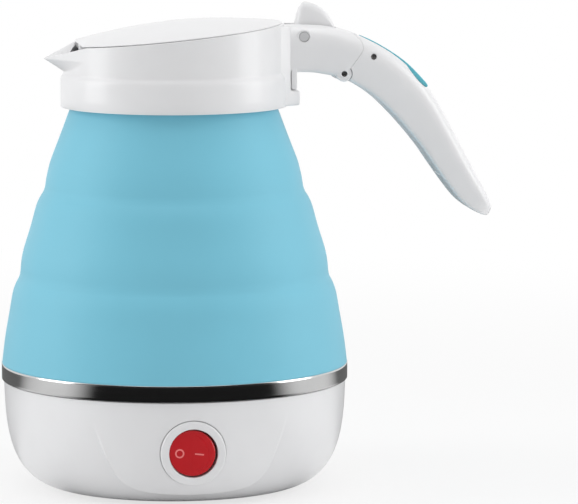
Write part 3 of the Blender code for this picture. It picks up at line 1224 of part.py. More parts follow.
def build():
    """Make the whole kettle."""
    clear_scene()
    white = plastic("white_plastic", (0.86, 0.86, 0.87), 0.30)
    inner_white = plastic("inner_white_plastic", (0.80, 0.80, 0.80), 0.45)
    silicone = plastic("blue_silicone", (0.16, 0.55, 0.74), 0.48)
    lever_blue = plastic("blue_plastic", (0.17, 0.56, 0.76), 0.35)
    seal_rubber = plastic("clear_grey_silicone", (0.62, 0.64, 0.66), 0.50)
    rubber = plastic("grey_rubber", (0.22, 0.22, 0.23), 0.75)
    chrome = plastic("polished_band", (0.80, 0.80, 0.80), 0.12, 1.0)
    steel = plastic("brushed_steel", (0.66, 0.66, 0.67), 0.32, 1.0)
    aluminium = plastic("cast_aluminium", (0.74, 0.74, 0.75), 0.45, 1.0)
    brass = plastic("plated_brass", (0.78, 0.74, 0.62), 0.28, 1.0)
    red = plastic("red_rocker", (0.72, 0.03, 0.04), 0.22)
    dark = plastic("black_plastic", (0.03, 0.03, 0.035), 0.45)
    ceramic = plastic("fuse_sleeve", (0.80, 0.78, 0.72), 0.60)
    live = plastic("brown_insulation", (0.22, 0.10, 0.05), 0.50)
    neutral = plastic("blue_insulation", (0.05, 0.13, 0.45), 0.50)
    top_carrier = carrier("top_slide", (0, 0, COLLAR_BOTTOM))
    middle_carrier = carrier("middle_tier_slide", (0, 0, MIDDLE_TIER_BOTTOM))
    lid_carrier = carrier("lid_hinge_axis", HINGE)
    handle_carrier = carrier("handle_fold_axis", FOLD)
    lever_carrier = carrier("lever_axis", LEVER_PIN)
    rocker_carrier = carrier("rocker_axis", (0, 0, SWITCH_HEIGHT))
    make_base_shell(white)
    make_bottom(inner_white, rubber, steel)
    make_band(chrome)
    make_pan(steel, seal_rubber, aluminium)
    element_ends = make_element(steel)
    make_thermal_guards(dark, ceramic)
    make_silicone(silicone, inner_white, top_carrier, middle_carrier)
    make_collar(white, top_carrier)
    make_bracket(white, steel, top_carrier)
    make_lid(white, seal_rubber, lid_carrier)
    make_handle(white, lever_blue, steel, handle_carrier, lever_carrier)
    tab_ends = make_switch(white, red, dark, rocker_carrier)
    pin_ends = make_inlet(dark, brass)
    make_leads(pin_ends, tab_ends, element_ends, live, neutral)


build()
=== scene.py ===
"""Surfaces, finishes and studio for the collapsible travel kettle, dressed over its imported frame.

The handle points along +X, the spout along -X, the switch along -Y and the power inlet along +Y, and the
table is at Z = 0. Shapes are worked out in millimetres, and become metres as their meshes are made. The
sidebar's sizes, the modifiers and the studio are in metres.
"""

import math

import bmesh
import bpy
import mathutils
import numpy as np
from bpy.props import FloatProperty, FloatVectorProperty, IntProperty, PointerProperty
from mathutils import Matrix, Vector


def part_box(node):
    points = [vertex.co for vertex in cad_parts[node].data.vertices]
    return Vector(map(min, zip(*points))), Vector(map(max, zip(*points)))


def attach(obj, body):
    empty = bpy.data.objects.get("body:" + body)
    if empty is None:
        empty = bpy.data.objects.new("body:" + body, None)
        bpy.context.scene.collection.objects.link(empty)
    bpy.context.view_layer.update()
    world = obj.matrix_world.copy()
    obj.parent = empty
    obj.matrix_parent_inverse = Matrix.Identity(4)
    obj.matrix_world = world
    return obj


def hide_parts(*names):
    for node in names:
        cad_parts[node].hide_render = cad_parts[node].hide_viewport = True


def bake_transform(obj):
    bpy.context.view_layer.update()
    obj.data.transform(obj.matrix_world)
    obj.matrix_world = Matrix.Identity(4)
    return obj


bl_info = {
    "name": "Collapsible Kettle Dresser",
    "version": (1, 0, 0),
    "blender": (4, 5, 0),
    "location": "3D View > Sidebar > Kettle",
    "description": "Builds the kettle's fine surfaces, its finishes and the studio over the packed frame",
    "category": "Object",
}

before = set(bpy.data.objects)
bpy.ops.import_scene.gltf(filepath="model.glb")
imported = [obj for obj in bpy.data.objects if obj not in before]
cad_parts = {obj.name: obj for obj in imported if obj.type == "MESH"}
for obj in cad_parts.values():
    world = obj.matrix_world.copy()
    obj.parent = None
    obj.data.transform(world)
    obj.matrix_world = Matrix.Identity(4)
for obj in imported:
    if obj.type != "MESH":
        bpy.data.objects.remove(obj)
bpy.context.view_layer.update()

MM = 0.001
CIRCLE = 2 * np.pi


def box(name):
    """The two corners of a CAD node's box, in millimetres."""
    return np.array([list(corner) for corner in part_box(name)]) / MM


BASE_FOOT, BASE_TOP = box("base_shell")[:, 2]
BAND_LOW, BAND_HIGH = box("trim_band")
COLLAR_FOOT = box("collar")[0, 2]
INLET_LOW, INLET_HIGH = box("inlet_housing")
INLET_HALF, _, INLET_RISE = (INLET_HIGH - INLET_LOW) / 2
INLET_Z = INLET_LOW[2] + INLET_RISE
BEZEL_LOW, BEZEL_HIGH = box("switch_bezel")
SWITCH_Z = (BEZEL_LOW[2] + BEZEL_HIGH[2]) / 2
HINGE, FOLD, LEVER_PIN = (
    box(name).mean(axis=0) for name in ("lid_hinge_pin", "handle_fold_pin", "lever_pin"))

# Side of the base, from its lower rim out and up to the trim band, its lip under the band and its floor
BASE_RIM, BASE_SPREAD, BASE_RISE = 46.4, 18.4, 72.0
BASE_OUT_POWER, BASE_UP_POWER = 1.1414, 0.3525
BASE_LIP, BASE_FLOOR = 64.7, 2.4

# Outer line of the silicone, radius and height, from the trim band up to the neck
SKIN_LINE = np.array([
    (65.35, 46.9), (65.0, 50.0), (64.2, 56.2), (63.4, 61.0), (62.6, 65.4), (61.9, 69.5), (61.35, 72.6),
    (60.7, 75.0), (59.7, 77.4), (58.7, 79.3), (58.2, 81.5), (58.0, 84.0), (57.6, 87.0), (56.9, 90.0),
    (56.0, 93.0), (54.9, 96.4), (53.7, 100.5), (52.5, 105.0), (51.6, 107.6), (50.6, 109.6), (49.5, 111.4),
    (48.8, 113.2), (48.45, 115.2), (48.1, 117.4), (47.4, 120.4), (46.5, 123.6), (44.2, 129.6), (41.9, 135.6),
    (39.9, 141.0), (38.7, 144.2), (38.5, 147.6)])

# Neck collar, its spout and rim
COLLAR_BAND, COLLAR_WALL, COLLAR_BORE = 42.7, 41.5, 39.1
RIM, RIM_SLOPE = 27.1, 0.1
SPOUT_REACH, SPOUT_START, SPOUT_TIP, SPOUT_FLOOR = 49.5, 13.4, 18.3, 6.4

# Switch: its seat in the base, and its rocker
SEAT_Y, SEAT_RADIUS, SEAT_BORE = -62.1, 12.25, 10.1
ROCKER_Y, ROCKER_RADIUS, ROCKER_DISH = -59.871, 8.4, 1.2

# Power inlet: half the width and height of its body, behind the flange
INLET_BODY, INLET_BODY_RISE = 13.0, 9.0

# Handle: half the width of its root, and the bore for the two thin pins
ROOT_HALF, THIN_BORE = 10.4, 1.12

# Lid
LID_RADIUS, LID_FRONT, LID_DOME, LID_EDGE = 40.8, 36.0, 4.3, 0.55
LID_SEAT = COLLAR_FOOT + RIM + 0.3


# ---- Lines and grids, worked out as whole arrays ----

def smooth_line(points, steps):
    """Catmull-Rom curve: on each stretch, a cubic in the share along it whose ends take half the chord
    between the neighbours as their direction. The ends mirror their neighbour."""
    p = np.asarray(points, float)
    padded = np.vstack([2 * p[:1] - p[1:2], p, 2 * p[-1:] - p[-2:-1]])
    a, b, c, d = (padded[i:len(padded) - 3 + i, None, :] for i in range(4))
    t = (np.arange(steps) / steps)[None, :, None]
    line = (2 * b + (c - a) * t + (2 * a - 5 * b + 4 * c - d) * t ** 2
            + (3 * b - a - 3 * c + d) * t ** 3) / 2
    return np.vstack([line.reshape(-1, p.shape[1]), p[-1:]])


def even_line(points, count):
    """The same line with evenly spaced points: each is found by its share of the line's whole length."""
    length = np.concatenate([[0], np.cumsum(np.linalg.norm(np.diff(points, axis=0), axis=1))])
    wanted = np.linspace(0, length[-1], count)
    return np.stack([np.interp(wanted, length, values) for values in points.T], axis=-1)


def rounded_outline(points, radii, steps=6):
    """A closed outline whose corners are rounded: each corner gives way to a parabola that starts and
    ends at a distance along its two edges, at most 48% of each edge."""
    p = np.asarray(points, float)
    back, ahead = np.roll(p, 1, axis=0) - p, np.roll(p, -1, axis=0) - p
    back_length, ahead_length = (np.linalg.norm(way, axis=1) for way in (back, ahead))
    reach = np.minimum(radii, 0.48 * np.minimum(back_length, ahead_length))
    start = (p + back * (reach / back_length)[:, None])[:, None]
    end = (p + ahead * (reach / ahead_length)[:, None])[:, None]
    t = np.linspace(0, 1, steps)[None, :, None]
    return ((1 - t) ** 2 * start + 2 * t * (1 - t) * p[:, None] + t ** 2 * end).reshape(-1, 2)


def arc(centre, radius, start, end, count):
    """Points of a circle's arc between two angles in degrees."""
    turn = np.radians(np.linspace(start, end, count))
    return np.stack([centre[0] + radius * np.cos(turn), centre[1] + radius * np.sin(turn)], axis=-1)


def rectangle(half, rise):
    """The corners of a rectangle about the origin, anticlockwise."""
    return np.array([(-half, -rise), (half, -rise), (half, rise), (-half, rise)])


def anticlockwise(outline):
    """The outline in anticlockwise order, told by the sign of its area."""
    p = np.asarray(outline, float)
    q = np.roll(p, -1, axis=0)
    return p if np.sum(p[:, 0] * q[:, 1] - q[:, 0] * p[:, 1]) > 0 else p[::-1]


def outline_normals(outline):
    """Outward direction at each point of an anticlockwise outline: its chord turned by a right angle."""
    chord = np.roll(outline, -1, axis=0) - np.roll(outline, 1, axis=0)
    normal = np.stack([chord[:, 1], -chord[:, 0]], axis=-1)
    return normal / np.maximum(np.linalg.norm(normal, axis=1, keepdims=True), 1e-9)


def to_stretch(points, start, end):
    """The way from each point to the nearest point of a stretch: its foot on the stretch's line, held
    between the two ends."""
    way = np.subtract(end, start)
    share = np.clip(((points - start) @ way) / (way @ way), 0, 1)
    return start + share[..., None] * way - points


def smoothstep(share):
    """The share held from 0 to 1 and eased: its square times three less twice itself."""
    share = np.clip(share, 0, 1)
    return share * share * (3 - 2 * share)


def even_turns(count):
    """Evenly spaced angles of a whole turn."""
    return CIRCLE * np.arange(count) / count


def spun(radius, height, turns):
    """A surface about Z: radius and height carried round by each angle, counted from -Y towards +X."""
    return np.stack([radius * np.sin(turns), -radius * np.cos(turns), height + 0 * turns], axis=-1)


def grid_faces(rows, columns, wrap_rows=False):
    """The four corner numbers of every cell of a grid of points whose columns close in a ring."""
    r = np.arange(rows if wrap_rows else rows - 1)[:, None]
    c = np.arange(columns)[None, :]
    r2, c2 = (r + 1) % rows * columns, (c + 1) % columns
    r = r * columns
    return np.stack([r + c, r + c2, r2 + c2, r2 + c], axis=-1).reshape(-1, 4)


# ---- Meshes ----

def shift(*place):
    """A matrix that moves a mesh by millimetres."""
    return mathutils.Matrix.Translation([along * MM for along in place])


def turned(angle, axis):
    """A matrix that turns a mesh by an angle about an axis."""
    return mathutils.Matrix.Rotation(angle, 4, axis)


def new_piece(name, points, faces, caps=(), outward=True):
    """An object from points in millimetres and faces, with doubles merged and faces turned outwards."""
    mesh = bpy.data.meshes.new(name)
    points = np.reshape(points, (-1, 3)) * MM
    mesh.from_pydata(points.tolist(), [], np.asarray(faces).tolist() + [list(cap) for cap in caps])
    work = bmesh.new()
    work.from_mesh(mesh)
    bmesh.ops.remove_doubles(work, verts=work.verts, dist=2e-7)
    bmesh.ops.dissolve_degenerate(work, edges=work.edges, dist=1e-7)
    if outward:
        bmesh.ops.recalc_face_normals(work, faces=work.faces)
    work.to_mesh(mesh)
    work.free()
    piece = bpy.data.objects.new(name, mesh)
    bpy.context.scene.collection.objects.link(piece)
    return piece


def spun_piece(name, line, count=128, place=(0, 0, 0), front=False):
    """A piece spun about Z from a line of radius and height, at a place. In front, its top is laid to face
    -Y. A line that starts and ends on the axis stays open there, and any other closes in a ring."""
    line = np.asarray(line, float)
    piece = new_piece(name, spun(line[:, :1], line[:, 1:], even_turns(count)),
                      grid_faces(len(line), count, line[[0, -1], 0].any()))
    piece.data.transform(shift(*place) @ turned(math.radians(90) if front else 0, "X"))
    return piece


def rod(radius, low, high, count, place=(0, 0, 0), front=False):
    """A plain cylinder that cuts other pieces."""
    return spun_piece("tool", [(0, low), (radius, low), (radius, high), (0, high)], count, place, front)


def block(low, high):
    """A plain box that cuts other pieces."""
    points = np.stack(np.meshgrid(*zip(low, high), indexing="ij"), axis=-1)
    return new_piece("tool", points, [
        (0, 1, 3, 2), (4, 6, 7, 5), (0, 4, 5, 1), (2, 3, 7, 6), (0, 2, 6, 4), (1, 5, 7, 3)])


def pillow(name, outline, half_width, rounding=0.01, steps=2, spine=None, place=(0, 0, 0)):
    """An outline in XZ carried along Y. Near both ends it shrinks by a quarter circle, inwards along its
    normals or towards a spine: the inset is the rounding times one minus the cosine, and the way along Y is
    the rounding times the sine. The rounding may differ from point to point of an anticlockwise outline."""
    line = anticlockwise(outline)
    inward = -outline_normals(line)
    if spine:
        inward = to_stretch(line, *spine)
        inward /= np.linalg.norm(inward, axis=1, keepdims=True)
    rounding = np.broadcast_to(rounding, len(line))
    turn = np.radians(np.linspace(0, 90, steps))[:, None]
    ring = line + inward * (rounding * (1 - np.sin(turn)))[..., None]
    along = half_width - rounding + rounding * np.cos(turn)
    near, far = (np.stack([ring[..., 0], side * along, ring[..., 1]], axis=-1) for side in (-1, 1))
    grid = np.concatenate([near, far[::-1]])
    rows, columns = grid.shape[:2]
    last = (rows - 1) * columns
    piece = new_piece(name, grid, grid_faces(rows, columns), caps=(
        range(columns), range(last, last + columns)))
    piece.data.transform(shift(*place))
    return piece


def cut(piece, *tools, operation="DIFFERENCE"):
    """Takes each tool's shape out of the piece, or adds it, and deletes the tool."""
    for tool in tools:
        change = piece.modifiers.new("cut", "BOOLEAN")
        change.operation, change.solver, change.object = operation, "EXACT", tool
        bpy.context.view_layer.update()
        evaluated = piece.evaluated_get(bpy.context.evaluated_depsgraph_get())
        mesh = bpy.data.meshes.new_from_object(evaluated)
        piece.modifiers.clear()
        form = bmesh.new()
        form.from_mesh(mesh)
        bmesh.ops.remove_doubles(form, verts=form.verts, dist=2e-6)
        bmesh.ops.dissolve_degenerate(form, edges=form.edges, dist=1e-6)
        open_edges = [edge for edge in form.edges if edge.is_boundary]
        if open_edges:
            bmesh.ops.holes_fill(form, edges=open_edges, sides=8)
        form.to_mesh(mesh)
        form.free()
        old, piece.data = piece.data, mesh
        mesh.name = piece.name
        bpy.data.meshes.remove(old)
        bpy.data.objects.remove(tool)


def pin_hole(piece, place, radius):
    """Bores a round hole along Y through a piece at a pin."""
    cut(piece, rod(radius, -14, 14, 48, place, front=True))


def flared(piece, axis, start, end, change):
    """Widens or narrows a piece along Y by an even share, from one place along an axis to another."""
    for vertex in piece.data.vertices:
        share = (vertex.co[axis] / MM - start) / (end - start)
        vertex.co.y *= 1 + change * min(max(share, 0.0), 1.0)


def softened(piece, width, angle):
    """Rounds the piece's sharp edges with a live bevel of one width in millimetres."""
    bevel = piece.modifiers.new("softened edges", "BEVEL")
    bevel.width, bevel.segments = width * MM, 2
    bevel.limit_method, bevel.angle_limit = "ANGLE", math.radians(angle)
    bevel.harden_normals, bevel.use_clamp_overlap = False, True


def dressed(piece, body, look, *stands_for, sharp=38.0):
    """Shades the piece, gives it its finish, the body that it rides on and the nodes that it replaces."""
    mesh = piece.data
    mesh.polygons.foreach_set("use_smooth", [True] * len(mesh.polygons))
    mesh.set_sharp_from_angle(angle=math.radians(sharp))
    mesh.materials.clear()
    mesh.materials.append(finish(look))
    if body:
        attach(piece, body)
    if stands_for:
        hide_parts(*stands_for)


# ---- Finishes: procedural, read from Object coordinates ----

def wired(tree, new, *inputs, **values):
    """Gives a node its inputs, in order or by name with _ for a space, each as a value or as the output
    that is linked to it. Any other name is a property of the node."""
    for name, value in [*enumerate(inputs), *values.items()]:
        socket = name.replace("_", " ") if isinstance(name, str) else name
        if isinstance(name, str) and socket not in new.inputs:
            setattr(new, name, value)
        elif isinstance(value, bpy.types.NodeSocket):
            tree.links.new(value, new.inputs[socket])
        else:
            new.inputs[socket].default_value = value
    return new


def node(tree, kind, *inputs, **values):
    """Adds a node with its inputs and properties, beside the last one."""
    new = tree.nodes.new(kind)
    new.location = (200 * len(tree.nodes), 0)
    return wired(tree, new, *inputs, **values)


def new_material(name):
    """An empty material, its node tree and the object's own coordinates."""
    material = bpy.data.materials.new(name)
    material.use_nodes = True
    tree = material.node_tree
    tree.nodes.clear()
    return material, tree, node(tree, "ShaderNodeTexCoord").outputs["Object"]


def worked(tree, operation, *inputs):
    """The result of a sum on its inputs."""
    return node(tree, "ShaderNodeMath", *inputs, operation=operation).outputs["Value"]


def eased(tree, value, reach, result, kind="SMOOTHSTEP"):
    """A number that goes from one result to the other as the value crosses its reach."""
    return node(tree, "ShaderNodeMapRange", Value=value, From_Min=reach[0], From_Max=reach[1],
                To_Min=result[0], To_Max=result[1], interpolation_type=kind).outputs["Result"]


def tone(tree, factor, colour, change):
    """The colour, a little darker and lighter with a pattern."""
    new = node(tree, "ShaderNodeValToRGB", factor)
    ramp = new.color_ramp
    ramp.interpolation = "EASE"
    for stop, place, level in zip(ramp.elements, (0.15, 0.85), (1 - change, 1 + change)):
        stop.position = place
        stop.color = [min(max(channel * level, 0.0), 1.0) for channel in colour] + [1.0]
    return new.outputs["Color"]


def pattern(tree, place, how):
    """A pattern on Object coordinates: the rings of turning, a braid of crossed threads, or a noise of a
    scale and detail that may be stretched."""
    if how == "rings":
        return node(tree, "ShaderNodeTexWave", place, wave_type="RINGS", rings_direction="Z", Scale=420.0,
                    Distortion=1.5, Detail=2.0).outputs["Fac"]
    if how == "braid":
        return worked(tree, "MULTIPLY", *[
            node(tree, "ShaderNodeTexWave", place, Scale=900.0, Distortion=0.4,
                 bands_direction=way).outputs["Fac"] for way in ("X", "DIAGONAL")])
    scale, detail, *stretch = how
    if stretch:
        place = node(tree, "ShaderNodeMapping", place, Scale=stretch[0]).outputs["Vector"]
    return node(tree, "ShaderNodeTexNoise", place, Scale=scale, Detail=detail, Roughness=0.55).outputs["Fac"]


def surface(name, colour, change, cloud, rough, gloss, *bumps, **settings):
    """A finish whose tone follows the pattern of its cloud and whose roughness that of its gloss. Each bump
    gives a pattern, its strength and its depth in metres."""
    material, tree, place = new_material(name)
    made = {how: pattern(tree, place, how) for how in dict.fromkeys((cloud, gloss, *[b[0] for b in bumps]))}
    shader = node(
        tree, "ShaderNodeBsdfPrincipled", Base_Color=tone(tree, made[cloud], colour, change),
        Roughness=eased(tree, made[gloss], (0.15, 0.85), rough), **settings)
    normal = None
    for how, strength, depth in bumps:
        bump = node(tree, "ShaderNodeBump", Height=made[how], Strength=strength, Distance=depth)
        if normal:
            wired(tree, bump, Normal=normal)
        normal = bump.outputs["Normal"]
    wired(tree, shader, Normal=normal)
    node(tree, "ShaderNodeOutputMaterial", shader.outputs["BSDF"])
    return material


def plastic(name, colour, rough, change=0.018, spark=0.05, coat=0.0):
    """Injection-moulded plastic: faint clouding in tone and gloss, and a fine spark-eroded grain."""
    lacquer = {"Coat_Weight": coat, "Coat_Roughness": 0.12} if coat else {}
    cloud, waves, grain = (38.0, 3.0), (90.0, 1.0), (2600.0, 2.0)
    return surface(name, colour, change, cloud, (rough * 0.9, rough * 1.12), cloud,
                   (waves, 0.02, 0.0004), (grain, spark, 0.00004), IOR=1.5, **lacquer)


def silicone(name, colour):
    """Matte silicone: an even colour with slow clouding, a velvety bloom and a fine skin."""
    cloud, skin, rings = (26.0, 4.0), (1900.0, 3.0), (55.0, 2.0, (0.25, 0.25, 3.0))
    return surface(name, colour, 0.022, cloud, (0.50, 0.60), cloud, (rings, 0.03, 0.0004),
                   (skin, 0.10, 0.00005), IOR=1.41, Sheen_Weight=0.12, Sheen_Roughness=0.5)


def metal(name, colour, rough, lines, stretch, scratch=0.03):
    """Polished or brushed metal: fine drawn lines along one way, seen in gloss and in a light bump."""
    drawn = (lines, 3.0, stretch)
    return surface(name, colour, 0.04, (60.0, 3.0), (rough * 0.75, rough * 1.3), drawn,
                   (drawn, scratch, 0.00003), Metallic=1.0)


def rubber(name, colour, rough):
    """Dull rubber with a fine granular skin."""
    cloud = (120.0, 3.0)
    return surface(name, colour, 0.10, cloud, (rough - 0.08, rough + 0.08), cloud,
                   ((2400.0, 3.0), 0.25, 0.00006))


def finish(look):
    """The finish of a look, made when it is first asked for, in the colours of the sidebar."""
    if look not in FINISHES:
        FINISHES[look] = MAKERS[look](bpy.context.scene.kettle_colours)
    return FINISHES[look]


FINISHES = {}
MAKERS = {
    "white": lambda own: plastic("kettle_white_plastic", own.white, 0.30, coat=0.15),
    "inner_white": lambda own: plastic("kettle_inner_plastic", (0.78, 0.78, 0.78), 0.48),
    "silicone": lambda own: silicone("kettle_blue_silicone", own.silicone),
    "lever": lambda own: plastic("kettle_lever_plastic", own.lever, 0.38),
    "band": lambda own: metal("kettle_band", own.band, 0.13, 320.0, (0.15, 0.15, 6.0)),
    "rocker": lambda own: plastic("kettle_rocker_red", own.rocker, 0.22, 0.05, 0.02, coat=0.5),
    "mark": lambda own: plastic("kettle_mark_print", own.mark, 0.45),
    "pin": lambda own: metal("kettle_pin_steel", (0.52, 0.50, 0.50), 0.62, 600.0, (1.0, 4.0, 1.0), 0.1),
    "grey_plug": lambda own: plastic("kettle_pin_plastic", (0.56, 0.56, 0.57), 0.40),
    "steel": lambda own: surface(  # pressed sheet with the round marks of its spinning
        "kettle_pan_steel", (0.60, 0.60, 0.61), 0.05, (70.0, 3.0), (0.26 * 0.8, 0.26 * 1.2), "rings",
        ("rings", 0.05, 0.00003), Metallic=1.0),
    "zinc": lambda own: metal("kettle_screw_zinc", (0.62, 0.61, 0.58), 0.30, 500.0, (1, 1, 1), 0.15),
    "aluminium": lambda own: metal(
        "kettle_cast_aluminium", (0.70, 0.70, 0.71), 0.42, 200.0, (1, 1, 1), 0.3),
    "brass": lambda own: metal("kettle_plated_brass", (0.74, 0.69, 0.55), 0.25, 500.0, (4.0, 0.3, 4.0), 0.1),
    "black": lambda own: plastic("kettle_black_plastic", (0.02, 0.02, 0.022), 0.42, 0.15, 0.12),
    "rubber": lambda own: rubber("kettle_foot_rubber", (0.16, 0.16, 0.17), 0.7),
    "seal": lambda own: rubber("kettle_seal_silicone", (0.42, 0.42, 0.43), 0.5),
    "sleeve": lambda own: surface(  # woven glass
        "kettle_fuse_sleeve", (0.72, 0.69, 0.60), 0.12, "braid", (0.75, 0.75), "braid",
        ("braid", 0.3, 0.0001)),
    "brown": lambda own: rubber("kettle_brown_insulation", (0.17, 0.075, 0.035), 0.45),
    "blue": lambda own: rubber("kettle_blue_insulation", (0.03, 0.09, 0.36), 0.45),
}

# The look of each CAD node that stays as it is
KEPT_NODES = {
    "pan_seal": "seal", "heat_spreader": "aluminium", "heating_element": "zinc", "thermostat": "black",
    "thermal_fuse": "sleeve", "lead_live": "brown", "lead_switched": "brown", "lead_neutral": "blue",
    "switch_housing": "black", "neck_clamp_ring": "inner_white", "bracket_screw_1": "zinc",
    "bracket_screw_2": "zinc", "lever_spring": "zinc", "lid_seal": "seal"}


# ---- Shapes of the kettle's own pieces ----

def base_side(count):
    """Outer side of the base: the radius grows as a power of a sine and the height as one minus a power
    of the same angle's cosine, so that the side leaves the table nearly flat and ends upright."""
    t = np.linspace(0, 1, count) ** 0.85 * math.radians(83.9)
    return np.stack([BASE_RIM + BASE_SPREAD * np.sin(t) ** BASE_OUT_POWER,
                     BASE_FOOT + BASE_RISE * (1 - np.cos(t) ** BASE_UP_POWER)], axis=-1)


# The proud face round the switch: its radius at four heights, and its crease in degrees and height
PANEL_FACE = np.array([(62.7, 7.0), (63.8, 20.0), (64.6, 31.0), (64.8, 36.0)])
PANEL_CREASE = np.array([
    (0.0, 5.2), (10.0, 5.6), (18.0, 6.7), (22.5, 8.6), (25.6, 11.6), (28.2, 16.4), (30.4, 22.6), (32.3, 28.6),
    (33.8, 33.5)])


def panel_share(turn, height, blend):
    """How far a point of the front lies inside the proud face, from 0 to 1. The crease is a smooth line of
    angle and height, unrolled to distances; the share eases over the blend width by the shortest distance
    to that line, counted negative outside. Towards the top the face fades into the side."""
    crease = smooth_line(PANEL_CREASE, 10)
    away = np.abs(np.degrees(turn)) + 0 * height
    inside = (height > np.interp(away, crease[:, 0], crease[:, 1])) & (away < crease[-1, 0])
    unroll = np.array([math.radians(1) * 63.0, 1.0])
    line, points = crease * unroll, np.stack([away, height], axis=-1) * unroll
    distance = np.minimum.reduce([
        np.linalg.norm(to_stretch(points, start, end), axis=-1) for start, end in zip(line[:-1], line[1:])])
    signed = np.where(inside, distance, -distance)
    return smoothstep(signed / blend + 0.5) * (1 - smoothstep((height - 25.0) / 11.0))


def base_columns():
    """Angles round the base, close together over the proud face and wider behind."""
    crease = np.linspace(20, 37, 61)
    middle = np.linspace(-20, 20, 73)[1:-1]
    rest = np.linspace(37, 323, 131)[1:-1]
    return np.radians(np.concatenate([-crease[::-1], middle, crease, rest]))


def collar_columns(count):
    """Angles round the collar, counted from the spout, closer together near it."""
    turns = even_turns(count)
    return turns - 0.42 * np.sin(turns)


def from_spout(turn):
    """The angle away from the spout, on either side."""
    return np.abs((turn + np.pi) % CIRCLE - np.pi)


def teardrop(turn, height, rounding):
    """Radius of the collar's wall at an angle from the spout: a circle, and outside its two tangents' feet
    the two tangents that meet in a point, which grows out with the height. The angle is rounded off near
    the point by the root of its square and a small square."""
    grown = np.clip((height - COLLAR_FOOT - SPOUT_START) / (SPOUT_TIP - SPOUT_START), 0, 1)
    reach = COLLAR_WALL + (SPOUT_REACH - COLLAR_WALL) * grown
    tangent = np.arccos(np.minimum(COLLAR_WALL / reach, 1.0))
    softer = np.sqrt(from_spout(turn) ** 2 + rounding ** 2)
    return COLLAR_WALL / np.cos(np.maximum(tangent - softer, 0))


def rim_height(turn):
    """The collar's rim: a plane that slopes up towards the handle and falls away along the spout."""
    widest = math.acos(COLLAR_WALL / SPOUT_REACH)
    away = from_spout(turn)
    rim = COLLAR_FOOT + RIM - RIM_SLOPE * COLLAR_WALL * np.cos(np.maximum(away, widest))
    across = teardrop(turn, COLLAR_FOOT + SPOUT_TIP, 0.0) * np.cos(away)
    start = COLLAR_WALL * math.cos(widest)
    share = np.clip((across - start) / (SPOUT_REACH - start), 0, 1)
    return np.where(away < widest, rim + (COLLAR_FOOT + SPOUT_TIP - rim) * share, rim)


# Back and finger side of the whole handle from the side, from the collar to the tip of the grip
HANDLE_BACK = np.array([
    (42.4, 174.6), (47.5, 174.6), (52.0, 174.5), (56.5, 174.1), (61.0, 173.2), (66.0, 171.7), (70.0, 170.3),
    (73.8, 168.5), (77.8, 166.4), (83.2, 163.0), (88.6, 158.6), (94.0, 153.1), (99.5, 145.6), (104.9, 135.9),
    (110.4, 125.6), (115.9, 115.4), (118.9, 109.6), (120.2, 106.6), (120.8, 104.6), (120.7, 103.2)])
HANDLE_INSIDE = np.array([
    (42.4, 156.6), (48.0, 156.6), (52.4, 156.4), (56.4, 155.7), (60.2, 155.0), (64.8, 153.4), (71.7, 149.5),
    (77.1, 145.4), (82.5, 140.1), (87.9, 134.1), (93.3, 127.4), (98.7, 119.6), (104.2, 112.0), (108.2, 107.2),
    (112.0, 104.1), (115.6, 102.2), (117.8, 101.5), (119.0, 101.4), (120.0, 101.8)])


def handle_lines(count):
    """Back and finger side of the handle, each at evenly spaced shares of its length."""
    return (even_line(smooth_line(line, 10), count) for line in (HANDLE_BACK, HANDLE_INSIDE))


def handle_form(name, half_width):
    """The handle's whole form. Each ring is a superellipse between an inner and an outer point: its way
    across is a power of the cosine and its way out a power of the sine, a soft power on the back and a
    crisp one on the side of the fingers. The tip narrows and closes along quarters of an ellipse."""
    rings, sides = 130, 72
    outer, inner = handle_lines(rings)
    turn = even_turns(sides)
    power = 2 / np.where(np.sin(turn) > 0, 2.9, 11.0)
    cosine, sine = (np.sign(way) * np.abs(way) ** power for way in (np.cos(turn), np.sin(turn)))
    left = 1 - np.linspace(0, 1, rings)[:, None]
    narrow, close = (np.sqrt(1 - (1 - np.clip(left / part, 0, 1)) ** 2) for part in (0.085, 0.018))
    width = half_width * (0.45 + 0.55 * narrow) * close
    middle, reach = (outer + inner) / 2, (outer - inner) / 2
    x, z = (middle[:, [i]] + reach[:, [i]] * sine for i in (0, 1))
    return new_piece(name, np.stack([x, width * cosine, z], axis=-1), grid_faces(rings, sides), caps=(
        range(sides),))


# Top of the grip's cheeks beside the end of the lever, which stands free there
LEVER_DIP = np.array([
    (85.6, 163.0), (87.2, 160.0), (88.9, 157.0), (90.9, 154.2), (93.1, 151.8), (95.2, 150.2), (97.4, 149.2),
    (98.4, 148.4)])


def grip_strip(top, thickness=None, roof=None, short=0.0):
    """A strip along the inside of the grip: it starts a distance in from the inner line, and is either as
    thick as asked or leaves a roof under the outer line. Both its ends may be cut short."""
    outer, inner = (line[60:119] for line in handle_lines(160))
    way = (outer - inner) / np.linalg.norm(outer - inner, axis=1, keepdims=True)
    near = inner + way * top
    far = near + way * thickness if thickness else outer - way * roof
    for end, beside in ((0, 1), (-1, -2)):
        along = inner[beside] - inner[end]
        for line in (near, far):
            line[end] += along * (short / np.linalg.norm(along))
    return np.vstack([near, far[::-1]])


def parting_outline():
    """The space of the bracket from the side, bounded behind by the curve of the parting line."""
    return rounded_outline([
        (41.0, 180.0), (66.6, 180.0), (67.2, 171.4), (68.6, 169.8), (70.1, 168.2), (70.9, 165.4),
        (69.0, 162.4), (66.4, 159.0), (65.2, 157.2), (64.4, 154.6), (64.2, 150.0), (41.0, 150.0)], [
            0.3, 0.3, 1.0, 1.2, 1.5, 1.6, 2.4, 1.2, 1.0, 1.0, 0.3, 0.3])


